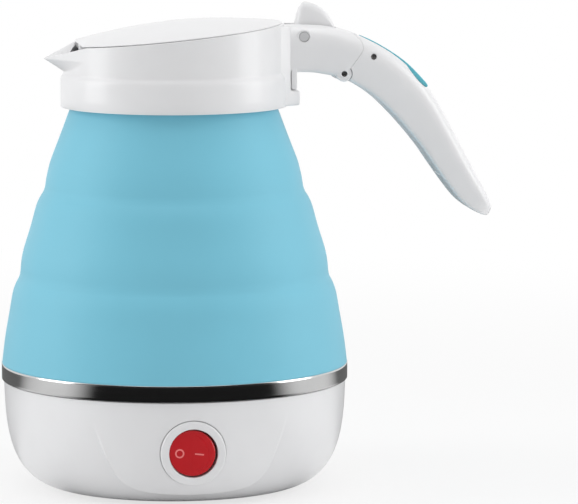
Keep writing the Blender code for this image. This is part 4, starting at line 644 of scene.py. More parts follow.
def lug_outline(radius, reach, count):
    """The grip's lug round the fold pin from the side, which runs on into the grip."""
    x, _, z = FOLD
    return np.vstack([
        arc((x, z), radius, 90, 250, count), [(x + reach, z - radius * 0.94), (x + reach, z + radius)]])


def fin_outline():
    """The thumb fin and the tongue under it, from the side."""
    front = [(48.6, 182.1), (47.3, 180.4), (46.5, 177.9), (46.1, 175.6), (45.9, 174.3), (44.2, 174.2),
             (40.2, 174.1), (40.6, 172.4), (44.4, 169.0), (46.6, 167.0)]
    return np.vstack([arc(HINGE[[0, 2]], 12.9, 12, 84, 26), front, arc(HINGE[[0, 2]], 4.0, 285, 372, 12)])


def lever_outline():
    """The lever from the side: a thin strip along the grip's back, its thumb drop, its eye and its tooth."""
    top = [(71.2, 169.7), (74.0, 168.5), (77.8, 166.5), (83.2, 163.2), (88.2, 159.5), (92.2, 155.6),
           (94.8, 152.8), (96.0, 151.3), (96.2, 150.6), (95.8, 150.2), (95.2, 150.3)]
    under = [(94.4, 150.9), (92.4, 152.5), (90.2, 154.8), (87.4, 157.6), (82.8, 161.1), (78.4, 163.4)]
    tooth = [(71.8, 162.9), (71.2, 166.1), (69.6, 166.8), (69.6, 168.1), (71.0, 168.4)]
    eye = arc(LEVER_PIN[[0, 2]], 2.5, -20, -175, 14)
    return np.vstack([smooth_line(top, 5), smooth_line(under, 5), eye, tooth])


def upright(name):
    """Where an upright round node stands on the table, its radius, and its lowest and highest point."""
    low, high = box(name)
    x, y, _ = (low + high) / 2
    return (x, y, 0), (high[0] - low[0]) / 2, low[2], high[2]


# ---- Sizes and colours that a user may change ----

LENGTH = {"unit": "LENGTH", "precision": 4}
COLOUR = {"subtype": "COLOR", "size": 3, "min": 0.0, "max": 1.0}
POWER = {"unit": "POWER", "min": 0.0, "max": 50.0}


class KettleSizes(bpy.types.PropertyGroup):
    """Fine sizes of the kettle's surfaces."""
    skin_wall: FloatProperty(name="Silicone wall", description="Thickness of the silicone body",
                             default=0.0020, min=0.0012, max=0.0026, **LENGTH)
    skin_sides: IntProperty(name="Silicone sides", description="Facets round the silicone body",
                            default=160, min=48, max=256)
    panel_blend: FloatProperty(
        name="Panel crease width", description="Width of the crease round the switch's face",
        default=0.0010, min=0.0006, max=0.004, **LENGTH)
    panel_proud: FloatProperty(
        name="Panel proud", description="How far the switch's face stands out at its foot",
        default=0.0036, min=0.0, max=0.005, **LENGTH)
    base_wall: FloatProperty(name="Base wall", description="Thickness of the base shell",
                             default=0.0022, min=0.0015, max=0.003, **LENGTH)
    edge_round: FloatProperty(name="Edge rounding", description="Rounding of the moulded edges",
                              default=0.0004, min=0.0001, max=0.001, **LENGTH)
    spout_round: FloatProperty(name="Spout rounding", description="Rounding of the spout's point",
                               default=math.radians(1.1), min=0.0, max=math.radians(8), subtype="ANGLE")
    grip_half_width: FloatProperty(name="Grip half width", description="Half the width of the grip",
                                   default=0.0105, min=0.008, max=0.0105, **LENGTH)
    fin_half_width: FloatProperty(name="Fin half width", description="Half the width of the lid's thumb fin",
                                  default=0.0038, min=0.002, max=0.0039, **LENGTH)
    mark_width: FloatProperty(name="Mark width", description="Line width of the marks on the rocker",
                              default=0.00055, min=0.0003, max=0.001, unit="LENGTH", precision=5)


class KettleColours(bpy.types.PropertyGroup):
    """Colours of the kettle's main finishes."""
    white: FloatVectorProperty(name="White plastic", description="Base, neck, lid and handle",
                               default=(0.80, 0.80, 0.81), **COLOUR)
    silicone: FloatVectorProperty(name="Silicone", description="Collapsible body",
                                  default=(0.190, 0.545, 0.690), **COLOUR)
    lever: FloatVectorProperty(name="Lever", description="Release lever on the grip",
                               default=(0.13, 0.52, 0.62), **COLOUR)
    band: FloatVectorProperty(name="Trim band", description="Bright band above the base",
                              default=(0.62, 0.62, 0.62), **COLOUR)
    rocker: FloatVectorProperty(name="Rocker", description="Switch rocker",
                                default=(0.56, 0.012, 0.018), **COLOUR)
    mark: FloatVectorProperty(name="Marks", description="On and off marks on the rocker",
                              default=(0.86, 0.22, 0.22), **COLOUR)


class KettleLights(bpy.types.PropertyGroup):
    """Levels of the studio lights."""
    side: FloatProperty(name="Side lights", description="Power of each of the two side lights",
                        default=4.9, **POWER)
    top: FloatProperty(name="Top light", description="Power of the light overhead", default=4.0, **POWER)
    low: FloatProperty(name="Low light", description="Power of the low light in front", default=1.2, **POWER)
    room: FloatProperty(name="Room light", description="Level of the room's own soft light",
                        default=0.50, min=0.0, max=1.5)


# ---- One operator for each piece or group of like pieces ----

class KETTLE_OT_silicone_body(bpy.types.Operator):
    """Builds the one-piece silicone body, standing open with its three tiers; the real one turns itself in as
    it collapses
    """
    bl_idname = "kettle.silicone_body"
    bl_label = "Silicone body"

    def execute(self, context):
        sizes = context.scene.kettle_sizes
        line = even_line(smooth_line(SKIN_LINE, 8), 190)
        body = new_piece("silicone_body", spun(line[:, :1], line[:, 1:], even_turns(sizes.skin_sides)),
                         grid_faces(len(line), sizes.skin_sides))
        wall = body.modifiers.new("wall", "SOLIDIFY")
        wall.thickness, wall.offset = sizes.skin_wall, -1.0
        dressed(body, None, "silicone", "silicone_lower_tier", "silicone_middle_tier",
                "silicone_upper_tier", sharp=60)
        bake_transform(body)
        return {"FINISHED"}


class KETTLE_OT_base_shell(bpy.types.Operator):
    """Builds the white base with its proud face, the seat of the switch and the opening of the inlet"""
    bl_idname = "kettle.base_shell"
    bl_label = "Base shell"

    def execute(self, context):
        sizes = context.scene.kettle_sizes
        wall, edge, most = (size / MM for size in (sizes.base_wall, sizes.edge_round, sizes.panel_proud))
        turns = base_columns()
        side, height = np.hsplit(base_side(136), 2)
        height = height + 0 * turns
        share = panel_share((turns + np.pi) % CIRCLE - np.pi, height, sizes.panel_blend / MM)
        proud = np.maximum(np.interp(height, PANEL_FACE[:, 1], PANEL_FACE[:, 0]) - side, 0)
        proud = proud / np.cbrt(1 + (proud / most) ** 3)
        floor, rim = BASE_FOOT + BASE_FLOOR, BASE_RIM - 1.8
        inner = base_side(24)[::-1] - (wall, 0)
        inner = np.maximum(inner, (0, floor))[inner[:, 1] < BASE_TOP - 8]
        rest = np.vstack([
            [(BASE_LIP - edge, BASE_TOP), (BASE_LIP - wall, BASE_TOP), (BASE_LIP - wall, BASE_TOP - 6)],
            inner, [(rim, floor), (rim, BASE_FOOT)]])
        grid = np.concatenate([
            spun(side + proud * share, height, turns), spun(rest[:, :1], rest[:, 1:], turns)])
        shell = new_piece("base_shell_skin", grid, grid_faces(len(grid), len(turns), wrap_rows=True))
        seat = (0, SEAT_Y, SWITCH_Z)
        half, rise, back = INLET_HALF + 0.35, INLET_RISE + 0.35, INLET_HIGH[1]
        wide, tall = INLET_BODY + 0.3, INLET_BODY_RISE + 0.3
        cut(shell, rod(SEAT_RADIUS, 0, 8, 128, seat, front=True), rod(SEAT_BORE, -9, 1, 96, seat, front=True),
            block((-half, back - 2.4, INLET_Z - rise), (half, back + 6, INLET_Z + rise)),
            block((-wide, back - 14, INLET_Z - tall), (wide, back - 2.0, INLET_Z + tall)))
        dressed(shell, "base", "white", "base_shell", sharp=42)
        return {"FINISHED"}


class KETTLE_OT_trim_band(bpy.types.Operator):
    """Builds the polished band between base and silicone, with rolled edges"""
    bl_idname = "kettle.trim_band"
    bl_label = "Trim band"

    def execute(self, context):
        radius, low, high, roll = BAND_HIGH[0], BAND_LOW[2], BAND_HIGH[2], 0.18
        face = np.linspace(-1, 1, 9)
        outer = np.stack([
            radius - 0.02 * face ** 2, (low + high) / 2 + face * ((high - low) / 2 - roll)], axis=-1)
        line = np.vstack([
            [(radius - 0.5, low), (radius - roll, low), (radius - 0.12, low + 0.04)], outer,
            [(radius - 0.12, high - 0.04), (radius - roll, high), (radius - 0.5, high)]])
        dressed(spun_piece("trim_band_skin", line, 192), "base", "band", "trim_band", sharp=50)
        return {"FINISHED"}


class KETTLE_OT_underside(bpy.types.Operator):
    """Builds the bottom cover with its grooves, the four feet and the cover's screws"""
    bl_idname = "kettle.underside"
    bl_label = "Underside"

    def execute(self, context):
        _, edge, low, top = upright("base_bottom_cover")
        foot, groove = BASE_FOOT, BASE_FOOT + 0.5
        cover = spun_piece("bottom_cover_skin", [
            (0, low), (5.6, low), (6.6, low + 0.3), (7.2, foot), (17.0, foot), (17.4, groove),
            (18.6, groove), (19.0, foot), (edge - 0.5, foot), (edge, groove), (edge, top), (0, top)])
        wells = []
        for number in range(1, 5):
            place, radius, low, top = upright(f"foot_{number}")
            pad = spun_piece(f"foot_pad_{number}", [
                (0, 0.12), (1.6, 0.12), (2.0, 0), (radius - 0.9, 0), (radius - 0.25, 0.25), (radius, 0.8),
                (radius, top), (0, top)], 64, place)
            dressed(pad, "base", "rubber", f"foot_{number}")
            wells.append(rod(radius + 0.3, -1, top + 0.3, 64, place))
        for number in range(1, 4):
            place, radius, low, top = upright(f"base_screw_{number}")
            x, y, _ = place
            head = spun_piece(f"base_screw_head_{number}", [
                (0, low), (radius - 0.5, low), (radius - 0.1, low + 0.25), (radius, low + 0.9),
                (1.2, low + 0.9), (1.2, top - 0.6), (0.3, top), (0, top)], 48, place)
            cut(head, *[block((x - a, y - b, low - 1), (x + a, y + b, low + 0.5))
                        for a, b in ((1.5, 0.28), (0.28, 1.5))])
            dressed(head, "base", "zinc", f"base_screw_{number}", sharp=35)
            wells.append(rod(radius + 0.25, low - 1, low + 1.15, 48, place))
        cut(cover, *wells)
        dressed(cover, "base", "inner_white", "base_bottom_cover", sharp=35)
        return {"FINISHED"}


class KETTLE_OT_heating_pan(bpy.types.Operator):
    """Builds the steel pan that is the floor of the vessel, and repaints the nodes that stay"""
    bl_idname = "kettle.heating_pan"
    bl_label = "Heating pan"

    def execute(self, context):
        _, flange, low, top = upright("heating_pan")
        sheet, wall, corner = 0.8, 56.0, 2.6
        floor, centre = low + sheet, (wall - corner, low + corner)
        line = np.vstack([
            [(0, low), (wall - corner, low)], arc(centre, corner, -75, 0, 6),
            [(wall, top - sheet), (flange, top - sheet), (flange, top), (wall + 0.4, top),
             (wall - sheet + 0.1, top - 0.3), (wall - sheet, top - 1.0)],
            arc(centre, corner - sheet, 0, -75, 6),
            [(46.0, floor), (44.8, floor + 0.35), (43.4, floor + 0.35), (42.2, floor), (0, floor)]])
        dressed(spun_piece("heating_pan_skin", line), "base", "steel", "heating_pan", sharp=40)
        for name, look in KEPT_NODES.items():
            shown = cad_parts[name]
            if not shown.material_slots:
                shown.data.materials.append(finish(look))
            for place in shown.material_slots:
                place.material = finish(look)
        return {"FINISHED"}


class KETTLE_OT_collar(bpy.types.Operator):
    """Builds the neck collar with its soft step, its open spout and the pad behind for the bracket"""
    bl_idname = "kettle.collar"
    bl_label = "Neck collar"

    def execute(self, context):
        sizes = context.scene.kettle_sizes
        edge, point = sizes.edge_round / MM, sizes.spout_round
        turns, foot = collar_columns(288), COLLAR_FOOT
        below = np.array([
            (COLLAR_BORE + 1.4, 0), (COLLAR_BAND - edge * 1.6, 0), (COLLAR_BAND - edge * 0.5, edge * 0.3),
            (COLLAR_BAND, edge * 1.4), (COLLAR_BAND, 4), (COLLAR_BAND, 8.6), (COLLAR_BAND - 0.04, 10.3),
            (COLLAR_BAND - 0.20, 11.2), (COLLAR_BAND - 0.55, 11.9), (COLLAR_BAND - 0.9, 12.4),
            (COLLAR_WALL + 0.06, 12.8), (COLLAR_WALL, 13.2)]) + (0, foot)
        bore = np.array([(COLLAR_BORE, foot + 6.2), (COLLAR_BORE, foot)])
        rim, start = rim_height(turns), foot + SPOUT_START
        outer_height, inner_height = (start + (rim - start) * np.concatenate(shares)[:, None] for shares in (
            [np.linspace(0.0, 0.965, 22), [0.985]], [[1.0, 0.98], np.linspace(0.94, 0.0, 18)]))
        lip_height = rim - edge * np.array([0.3, 0, 0])[:, None]
        outer = teardrop(turns, outer_height, point)
        lip = teardrop(turns, rim, point) - edge * np.array([0.08, 0.7, 1.6])[:, None]
        inner = teardrop(turns, inner_height - SPOUT_FLOOR, point * 1.5) * (COLLAR_BORE / COLLAR_WALL)
        inner[0] += edge * 0.6
        radius = np.concatenate([below[:, :1] + 0 * turns, outer, lip, inner, bore[:, :1] + 0 * turns])
        height = np.concatenate([
            below[:, 1:] + 0 * turns, outer_height, lip_height, inner_height, bore[:, 1:] + 0 * turns])
        grid = np.stack([-radius * np.cos(turns), radius * np.sin(turns), height], axis=-1)
        collar = new_piece("collar_skin", grid, grid_faces(len(grid), len(turns), wrap_rows=True))
        notch = (35.5, -4.3, HINGE[2] - 1.2), (52, 4.3, HINGE[2] + 9)
        cut(collar, block(*notch))
        dressed(collar, "top", "white", "collar", sharp=44)
        pad = pillow("collar_pad", rounded_outline([
            (36.8, foot + 0.5), (46.6, foot + 0.5), (46.6, foot + 6.2), (43.1, foot + 6.2),
            (42.9, foot + 30.4), (36.8, foot + 30.4)], [0.8, 1.3, 1.3, 0.5, 0.8, 0.8], 5), ROOT_HALF, 0.55, 4)
        flared(pad, 0, 43.4, 36.8, 0.62)
        cut(pad, rod(40.4, -2, 36, 192, (0, 0, foot)), block(*notch))
        dressed(pad, "top", "white", sharp=44)
        return {"FINISHED"}


class KETTLE_OT_lid(bpy.types.Operator):
    """Builds the domed lid with its blunt front and skirt, and the thumb fin behind it"""
    bl_idname = "kettle.lid"
    bl_label = "Lid"

    def execute(self, context):
        share = np.linspace(0, 1, 40)[:-1]
        dome = np.stack([LID_RADIUS * share, LID_EDGE + LID_DOME * (1 - share ** 1.85)], axis=-1)
        half = LID_EDGE / 2
        rim = arc((0, 0), 1, 60, -60, 6) * (0.3, half - 0.05) + (LID_RADIUS - 0.25, half + 0.05)
        under = [(LID_RADIUS - 0.6, 0), (36.2, 0), (36.2, -3.7), (35.9, -4.0), (34.7, -4.0), (34.4, -3.7),
                 (34.4, 0.5), (24, 2.0), (0, 3.2)]
        lid = spun_piece("lid_skin", np.vstack([dome, rim, under]), 160)
        cut(lid, block((-60, -45, -9), (-LID_FRONT, 45, 12)),
            pillow("tool", [(-37.5, -0.6), (-25.0, 6.8), (-37.5, 9.0)], 46))
        lid.data.transform(shift(0, 0, LID_SEAT - 0.27) @ turned(-math.atan(RIM_SLOPE), "Y"))
        softened(lid, 0.2, 50)
        dressed(lid, "lid", "white", "lid", sharp=40)
        line = fin_outline()
        crown = 1.1 + 1.7 * smoothstep((line[:, 1] - 172.5) / 4.5)
        fin = pillow("lid_fin", line, context.scene.kettle_sizes.fin_half_width / MM, crown, 9,
                     spine=((49.6, 170.4), (51.4, 177.4)))
        flared(fin, 2, 174.0, 183.0, -0.38)
        pin_hole(fin, HINGE, 2.2)
        dressed(fin, "lid", "white", sharp=50)
        return {"FINISHED"}


class KETTLE_OT_bracket(bpy.types.Operator):
    """Builds the handle's bracket with the slot for the fin and the eye of the fold"""
    bl_idname = "kettle.bracket"
    bl_label = "Handle bracket"

    def execute(self, context):
        bracket = handle_form("handle_bracket_skin", context.scene.kettle_sizes.grip_half_width / MM)
        cut(bracket, pillow("tool", parting_outline(), 14), operation="INTERSECT")
        eye = spun_piece("tool", [
            (0, -10.2), (2.7, -10.2), (3.0, -9.9), (3.0, 9.9), (2.7, 10.2), (0, 10.2)], 64, FOLD, front=True)
        plate = pillow("tool", rounded_outline([
            (43.34, 150.3), (45.5, 150.3), (45.5, 158.4), (43.34, 158.4)], 0.6, 4), ROOT_HALF, 0.35, 4)
        cut(bracket, eye, plate, operation="UNION")
        x, _, z = HINGE
        sweep = np.vstack([
            arc((x, z), 4.7, 180, 300, 10), arc((x, z), 13.2, -66, 60, 24),
            [(x + 13.2, z + 15), (39, z + 15), (39, z - 0.6)]])
        cut(bracket, pillow("tool", sweep, 4.25), pillow("tool", lug_outline(3.3, 12, 12), 5.3),
            block((68.9, -4.8, 164.2), (78, 4.8, 169.4)))
        pin_hole(bracket, HINGE, 1.98)
        pin_hole(bracket, FOLD, THIN_BORE)
        dressed(bracket, "top", "white", "handle_bracket", sharp=42)
        return {"FINISHED"}


class KETTLE_OT_grip(bpy.types.Operator):
    """Builds the folding grip, cut along the parting line, with the channel of its lever"""
    bl_idname = "kettle.grip"
    bl_label = "Handle grip"

    def execute(self, context):
        width = context.scene.kettle_sizes.grip_half_width / MM
        grip = handle_form("handle_grip_skin", width)
        line = anticlockwise(parting_outline())
        cut(grip, pillow("tool", line + outline_normals(line) * 0.07, 15),
            rod(3.12, -14, 14, 64, FOLD, front=True))
        cut(grip, pillow("tool", lug_outline(2.7, 6.5, 14), 5.0, 0.2, 3), operation="UNION")
        x, _, z = LEVER_PIN
        channel = np.vstack([
            [(60, 178), (97.3, 178), (97.3, 150.2), (97.3, 148.4), (94.6, 147.6), (91.2, 150.6),
             (87.2, 154.8), (82.6, 158.9), (78.8, 161.5)],
            [(x + 3.1, z - 3.1), (x - 3.1, z - 3.1), (x - 3.4, z), (60, z)]])
        dip = np.vstack([smooth_line(LEVER_DIP, 6)[::-1], [(88.0, 172.0), (101.0, 172.0)]])
        cut(grip, pillow("tool", grip_strip(-2.0, roof=6.0), width - 3.0), pillow("tool", channel, 4.8),
            pillow("tool", dip, 14))
        for place in (FOLD, LEVER_PIN):
            pin_hole(grip, place, THIN_BORE)
        dressed(grip, "handle", "white", "handle_grip", sharp=40)
        cover = pillow("inner_cover_skin", grip_strip(0.25, thickness=1.7, short=0.15), width - 3.15, 0.25, 4)
        dressed(cover, "handle", "white", "handle_inner_cover", sharp=40)
        return {"FINISHED"}


class KETTLE_OT_lever(bpy.types.Operator):
    """Builds the blue release lever with its eye and the tooth of its latch"""
    bl_idname = "kettle.lever"
    bl_label = "Release lever"

    def execute(self, context):
        lever = pillow("release_lever_skin", lever_outline(), 4.45, 0.3, 4)
        pin_hole(lever, LEVER_PIN, 1.45)
        dressed(lever, "lever", "lever", "release_lever", sharp=45)
        return {"FINISHED"}


class KETTLE_OT_pins(bpy.types.Operator):
    """Builds the pins of the lid, the fold and the lever, and the rims round their ends"""
    bl_idname = "kettle.pins"
    bl_label = "Pins"

    def execute(self, context):
        for name, place, radius, half, body, look in (
                ("lid_hinge_pin", HINGE, 1.9, 10.05, "top", "grey_plug"),
                ("handle_fold_pin", FOLD, 1.0, 9.75, "top", "pin"),
                ("lever_pin", LEVER_PIN, 1.0, 9.5, "handle", "pin")):
            end = arc((radius - 0.3, half - 0.3), 0.3, 0, 90, 6)
            line = np.vstack([[(0, half)], end[::-1], end * (1, -1), [(0, -half)]])
            dressed(spun_piece(f"{name}_rod", line, 40, place, front=True), body, look, name, sharp=50)
        wide, proud = 0.32, 0.22
        for name, place, radius, half, body in (
                ("hinge_rim", HINGE, 2.0, 9.95, "top"), ("fold_rim", FOLD, THIN_BORE, 10.15, "top"),
                ("lever_rim", LEVER_PIN, THIN_BORE, 9.85, "handle")):
            crown = arc((0, 0), 1, 0, 180, 9) * (wide, proud) + (radius + wide, half)
            line = np.vstack([[(radius, half - 1.2), (radius + 2 * wide, half - 1.2)], crown])
            for side, mirror in (("near", 1), ("far", -1)):
                rim = spun_piece(f"{name}_{side}", line * (1, mirror), 48, place, front=True)
                dressed(rim, body, "white", sharp=60)
        return {"FINISHED"}


class KETTLE_OT_switch(bpy.types.Operator):
    """Builds the round switch: its bezel, its dished rocker and the on and off marks"""
    bl_idname = "kettle.switch"
    bl_label = "Switch"

    def execute(self, context):
        line = np.vstack([
            arc((11.3, -0.7), 0.7, 90, 0, 7),
            [(12.0, -2.25), (9.8, -2.25), (9.8, -8.2), (8.95, -8.2), (8.95, -0.35)],
            arc((9.3, -0.35), 0.35, 180, 90, 7)])
        bezel = spun_piece("switch_bezel_ring", line, 128, (0, BEZEL_LOW[1], SWITCH_Z), front=True)
        dressed(bezel, "base", "white", "switch_bezel", sharp=50)
        carried = shift(0, ROCKER_Y, SWITCH_Z) @ turned(math.radians(-7), "Z")
        rocker = self.rocker(ROCKER_RADIUS, 96)
        rocker.data.transform(carried)
        dressed(rocker, "rocker", "rocker", "switch_rocker", sharp=55)
        half, middle = context.scene.kettle_sizes.mark_width / MM / 2, 1.42
        off_mark = spun_piece("off_mark", [
            (middle - half, -0.12), (middle - half, 0), (middle + half, 0), (middle + half, -0.12)], 48)
        slope = math.atan(ROCKER_DISH / ROCKER_RADIUS)
        off_mark.data.transform(
            carried @ shift(-4.5, -4.29, 0) @ turned(slope, "Z") @ turned(math.radians(90), "X"))
        on_mark = pillow("on_mark", rounded_outline(rectangle(1.7, 0.26), 0.2, 5), 0.05, 0.02, 3)
        on_mark.data.transform(
            carried @ shift(2.7, -4.02, -0.3) @ turned(-slope, "Z") @ turned(math.radians(4), "Y"))
        for mark in (off_mark, on_mark):
            dressed(mark, "rocker", "mark")
        return {"FINISHED"}

    def rocker(self, radius, sides):
        """The rocker about its axis: a round face whose dish falls towards both sides by the root of the
        share across squared and a small number, with a low crescent on the pressed side, a rounded edge
        and a wall that spreads a little."""
        turns = even_turns(sides)
        share = np.concatenate([np.linspace(0, 0.94, 40), [0.965, 0.985, 1.0]])[:, None]
        x, z = radius * share * np.cos(turns), radius * share * np.sin(turns)
        valley = ROCKER_DISH * (1 - np.sqrt((x / radius) ** 2 + 0.004))
        round_off = 0.35 * np.clip((share - 0.94) / 0.06, 0, 1) ** 2
        crescent = smoothstep(np.clip((np.hypot(x + 0.8, z) - 6.6) / 0.5, 0, 1) * np.clip(x / 3, 0, 1))
        face = np.stack([x, valley + round_off + 0.28 * crescent - 4.8, z], axis=-1)
        wall = [face[-1] * (spread, 0, 1 + (spread - 1) / 2) + (0, depth, 0) for depth, spread in (
            (-3.4, 1.010), (-2.2, 1.028), (-1.1, 1.042), (0.0, 1.052), (1.4, 1.048))]
        grid = np.concatenate([face, wall])
        last = (len(grid) - 1) * sides
        return new_piece("rocker_cap", grid, grid_faces(len(grid), sides), caps=(range(last, last + sides),))


class KETTLE_OT_inlet(bpy.types.Operator):
    """Builds the power inlet at the back, with its socket and its three flat pins"""
    bl_idname = "kettle.inlet"
    bl_label = "Power inlet"

    def execute(self, context):
        face = INLET_HIGH[1]
        flange = pillow("inlet_flange", rounded_outline(rectangle(INLET_HALF, INLET_RISE), 1.6, 7),
                        1.0, 0.4, 4, place=(0, face - 1.0, INLET_Z))
        body = block((-INLET_BODY, INLET_LOW[1], INLET_Z - INLET_BODY_RISE),
                     (INLET_BODY, face - 1.0, INLET_Z + INLET_BODY_RISE))
        cut(flange, body, operation="UNION")
        mouth = rounded_outline([
            (-11.25, -7.25), (11.25, -7.25), (11.25, 4.0), (7.6, 7.25), (-7.6, 7.25), (-11.25, 4.0)], 1.2)
        cut(flange, pillow("tool", mouth, 9, place=(0, face - 6, INLET_Z)))
        softened(flange, 0.25, 40)
        dressed(flange, "base", "black", "inlet_housing", sharp=40)
        for number in range(1, 4):
            low, high = box(f"inlet_pin_{number}")
            wide, deep, tall = (high - low) / 2
            blade = pillow(f"inlet_blade_{number}", rounded_outline(rectangle(wide, tall), 0.4, 5),
                           deep, 0.6, 5, place=(low + high) / 2)
            dressed(blade, "base", "brass", f"inlet_pin_{number}", sharp=50)
        return {"FINISHED"}


class KETTLE_OT_studio(bpy.types.Operator):
    """Builds the floor, the soft lights, the room and the camera"""
    bl_idname = "kettle.studio"
    bl_label = "Studio"

    def execute(self, context):
        scene = context.scene
        lights = scene.kettle_lights
        scene.view_settings.view_transform = "Standard"
        floor = new_piece("studio_floor", np.hstack([rectangle(3000, 3000), np.full((4, 1), -0.2)]),
                          [(0, 1, 2, 3)], outward=False)
        floor.data.materials.append(floor_finish())
        self.light("side_light_left", (-1.10, 0.02, 0.45), 0.09, 0.6, 1.0, lights.side)
        self.light("side_light_right", (1.10, -0.22, 0.45), 0.09, 0.6, 1.0, lights.side)
        self.light("top_light", (0.0, -0.10, 1.15), 0.10, 0.9, 0.9, lights.top)
        low = self.light("low_light", (-0.10, -1.25, 0.10), 0.03, 1.3, 0.16, lights.low)
        low.visible_glossy = False
        self.room(scene, lights.room)
        camera = bpy.data.cameras.new("photo_camera")
        camera.lens, camera.sensor_width, camera.sensor_fit = 248.537, 36.0, "HORIZONTAL"
        camera.clip_start, camera.clip_end = 0.05, 20.0
        stand = bpy.data.objects.new("photo_camera", camera)
        left, near, up, down, aside = 0.15679, 1.49178, 0.2690, 6.8712, 1.6565
        stand.location = (-left, -near, up)
        stand.rotation_euler = (
            math.radians(90 - down), 0.0, -math.atan2(left, near) - math.radians(aside))
        scene.collection.objects.link(stand)
        scene.camera = stand
        return {"FINISHED"}

    def light(self, name, place, height, wide, tall, power):
        """A soft rectangular light that looks at a height on the kettle's axis."""
        lamp = bpy.data.lights.new(name, "AREA")
        lamp.shape, lamp.size, lamp.size_y, lamp.energy = "RECTANGLE", wide, tall, power
        stand = bpy.data.objects.new(name, lamp)
        stand.location = place
        way = mathutils.Vector((0, 0, height)) - mathutils.Vector(place)
        stand.rotation_euler = way.to_track_quat("-Z", "Y").to_euler()
        bpy.context.scene.collection.objects.link(stand)
        return stand

    def room(self, scene, level):
        """White where the camera, a mirror or glass looks at the room behind the kettle, a dim front wall
        in reflections, and a plain soft level for all other light."""
        scene.world = bpy.data.worlds.new("studio_room")
        scene.world.use_nodes = True
        tree = scene.world.node_tree
        tree.nodes.clear()
        way = node(tree, "ShaderNodeSeparateXYZ", node(tree, "ShaderNodeTexCoord").outputs["Generated"])
        depth = eased(tree, way.outputs["Y"], (-0.55, 0.10), (0.03, 1.0), "LINEAR")
        seen, lit, mirrored = (
            node(tree, "ShaderNodeBackground", Color=(1, 1, 1, 1), Strength=strength).outputs["Background"]
            for strength in (1.0, level, depth))
        path = node(tree, "ShaderNodeLightPath").outputs
        either = worked(tree, "MAXIMUM", path["Is Camera Ray"], path["Is Transmission Ray"])
        first = node(tree, "ShaderNodeMixShader", path["Is Glossy Ray"], lit, mirrored).outputs["Shader"]
        second = node(tree, "ShaderNodeMixShader", either, first, seen).outputs["Shader"]
        node(tree, "ShaderNodeOutputWorld", second)


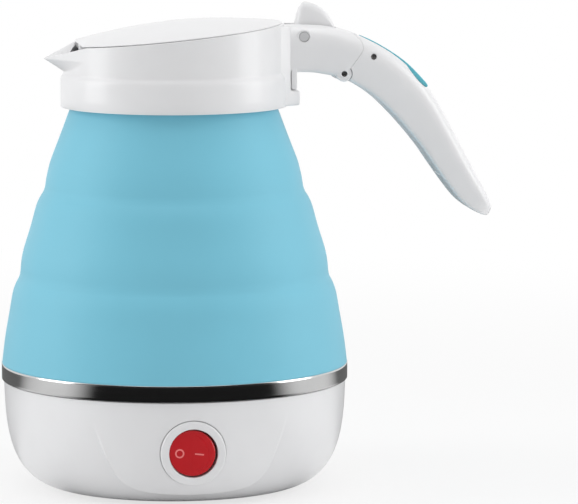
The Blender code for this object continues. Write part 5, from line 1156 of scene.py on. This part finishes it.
def floor_finish():
    """Pale floor. It keeps the kettle's shadow and fades to white away from it where the camera looks at
    it. A mirror sees it as the room: bright to the left and right, dark in front, dim close behind and
    bright far behind."""
    material, tree, place = new_material("studio_floor_finish")
    colour = tone(tree, pattern(tree, place, (6.0, 2.0)), (0.91, 0.91, 0.91), 0.01)
    pale = node(tree, "ShaderNodeBsdfPrincipled", Base_Color=colour, Roughness=0.8,
                Specular_IOR_Level=0.2).outputs["BSDF"]
    flat = node(tree, "ShaderNodeVectorMath", place, (1, 1, 0), operation="MULTIPLY").outputs["Vector"]
    reach = node(tree, "ShaderNodeVectorMath", flat, operation="LENGTH").outputs["Value"]
    way = node(tree, "ShaderNodeVectorMath", flat, operation="NORMALIZE").outputs["Vector"]
    side, depth, _ = node(tree, "ShaderNodeSeparateXYZ", way).outputs
    beside = eased(tree, worked(tree, "ABSOLUTE", side), (0.80, 1.0), (0.0, 0.88))
    behind = eased(tree, depth, (-0.1, 0.6), (0.012, 0.16))
    distant = worked(tree, "MULTIPLY", eased(tree, reach, (0.62, 0.80), (0.0, 1.0)),
                     eased(tree, depth, (0.1, 0.6), (0.0, 1.0)))
    bright = worked(tree, "MAXIMUM", worked(tree, "MAXIMUM", beside, behind), distant)
    path = node(tree, "ShaderNodeLightPath").outputs
    fade = worked(tree, "MULTIPLY", path["Is Camera Ray"], eased(tree, reach, (0.15, 0.75), (0.72, 1.0)))
    white, mirrored = (
        node(tree, "ShaderNodeEmission", Color=(1, 1, 1, 1), Strength=strength).outputs["Emission"]
        for strength in (1.0, bright))
    seen = node(tree, "ShaderNodeMixShader", fade, pale, white).outputs["Shader"]
    glossy = node(tree, "ShaderNodeMixShader", path["Is Glossy Ray"], seen, mirrored).outputs["Shader"]
    node(tree, "ShaderNodeOutputMaterial", glossy)
    return material


class KETTLE_PT_sidebar(bpy.types.Panel):
    """Lists the kettle's sizes, colours and lights, and the steps that build it"""
    bl_idname = "KETTLE_PT_sidebar"
    bl_label = "Collapsible kettle"
    bl_space_type = "VIEW_3D"
    bl_region_type = "UI"
    bl_category = "Kettle"

    def draw(self, context):
        scene = context.scene
        for title, group in (("Sizes", scene.kettle_sizes), ("Colours", scene.kettle_colours),
                             ("Lights", scene.kettle_lights)):
            area = self.layout.box()
            area.label(text=title)
            for name in group.__annotations__:
                area.prop(group, name)
        steps = self.layout.column(align=True)
        for step in STEPS:
            steps.operator(step.bl_idname)


STEPS = (
    KETTLE_OT_silicone_body, KETTLE_OT_base_shell, KETTLE_OT_trim_band, KETTLE_OT_underside,
    KETTLE_OT_heating_pan, KETTLE_OT_collar, KETTLE_OT_lid, KETTLE_OT_bracket, KETTLE_OT_grip,
    KETTLE_OT_lever, KETTLE_OT_pins, KETTLE_OT_switch, KETTLE_OT_inlet, KETTLE_OT_studio)
CLASSES = (KettleSizes, KettleColours, KettleLights, *STEPS, KETTLE_PT_sidebar)


def register():
    """Registers the classes and hangs the property groups on the scene."""
    for item in CLASSES:
        bpy.utils.register_class(item)
    bpy.types.Scene.kettle_sizes = PointerProperty(type=KettleSizes)
    bpy.types.Scene.kettle_colours = PointerProperty(type=KettleColours)
    bpy.types.Scene.kettle_lights = PointerProperty(type=KettleLights)


def unregister():
    """Takes the property groups and the classes away again."""
    del bpy.types.Scene.kettle_lights
    del bpy.types.Scene.kettle_colours
    del bpy.types.Scene.kettle_sizes
    for item in reversed(CLASSES):
        bpy.utils.unregister_class(item)


def main():
    register()
    for step in STEPS:
        group, name = step.bl_idname.split(".")
        result = getattr(getattr(bpy.ops, group), name)()
        if "FINISHED" not in result:
            raise RuntimeError(f"{step.bl_label} did not finish")
    bpy.context.view_layer.update()


if __name__ == "__main__":
    main()
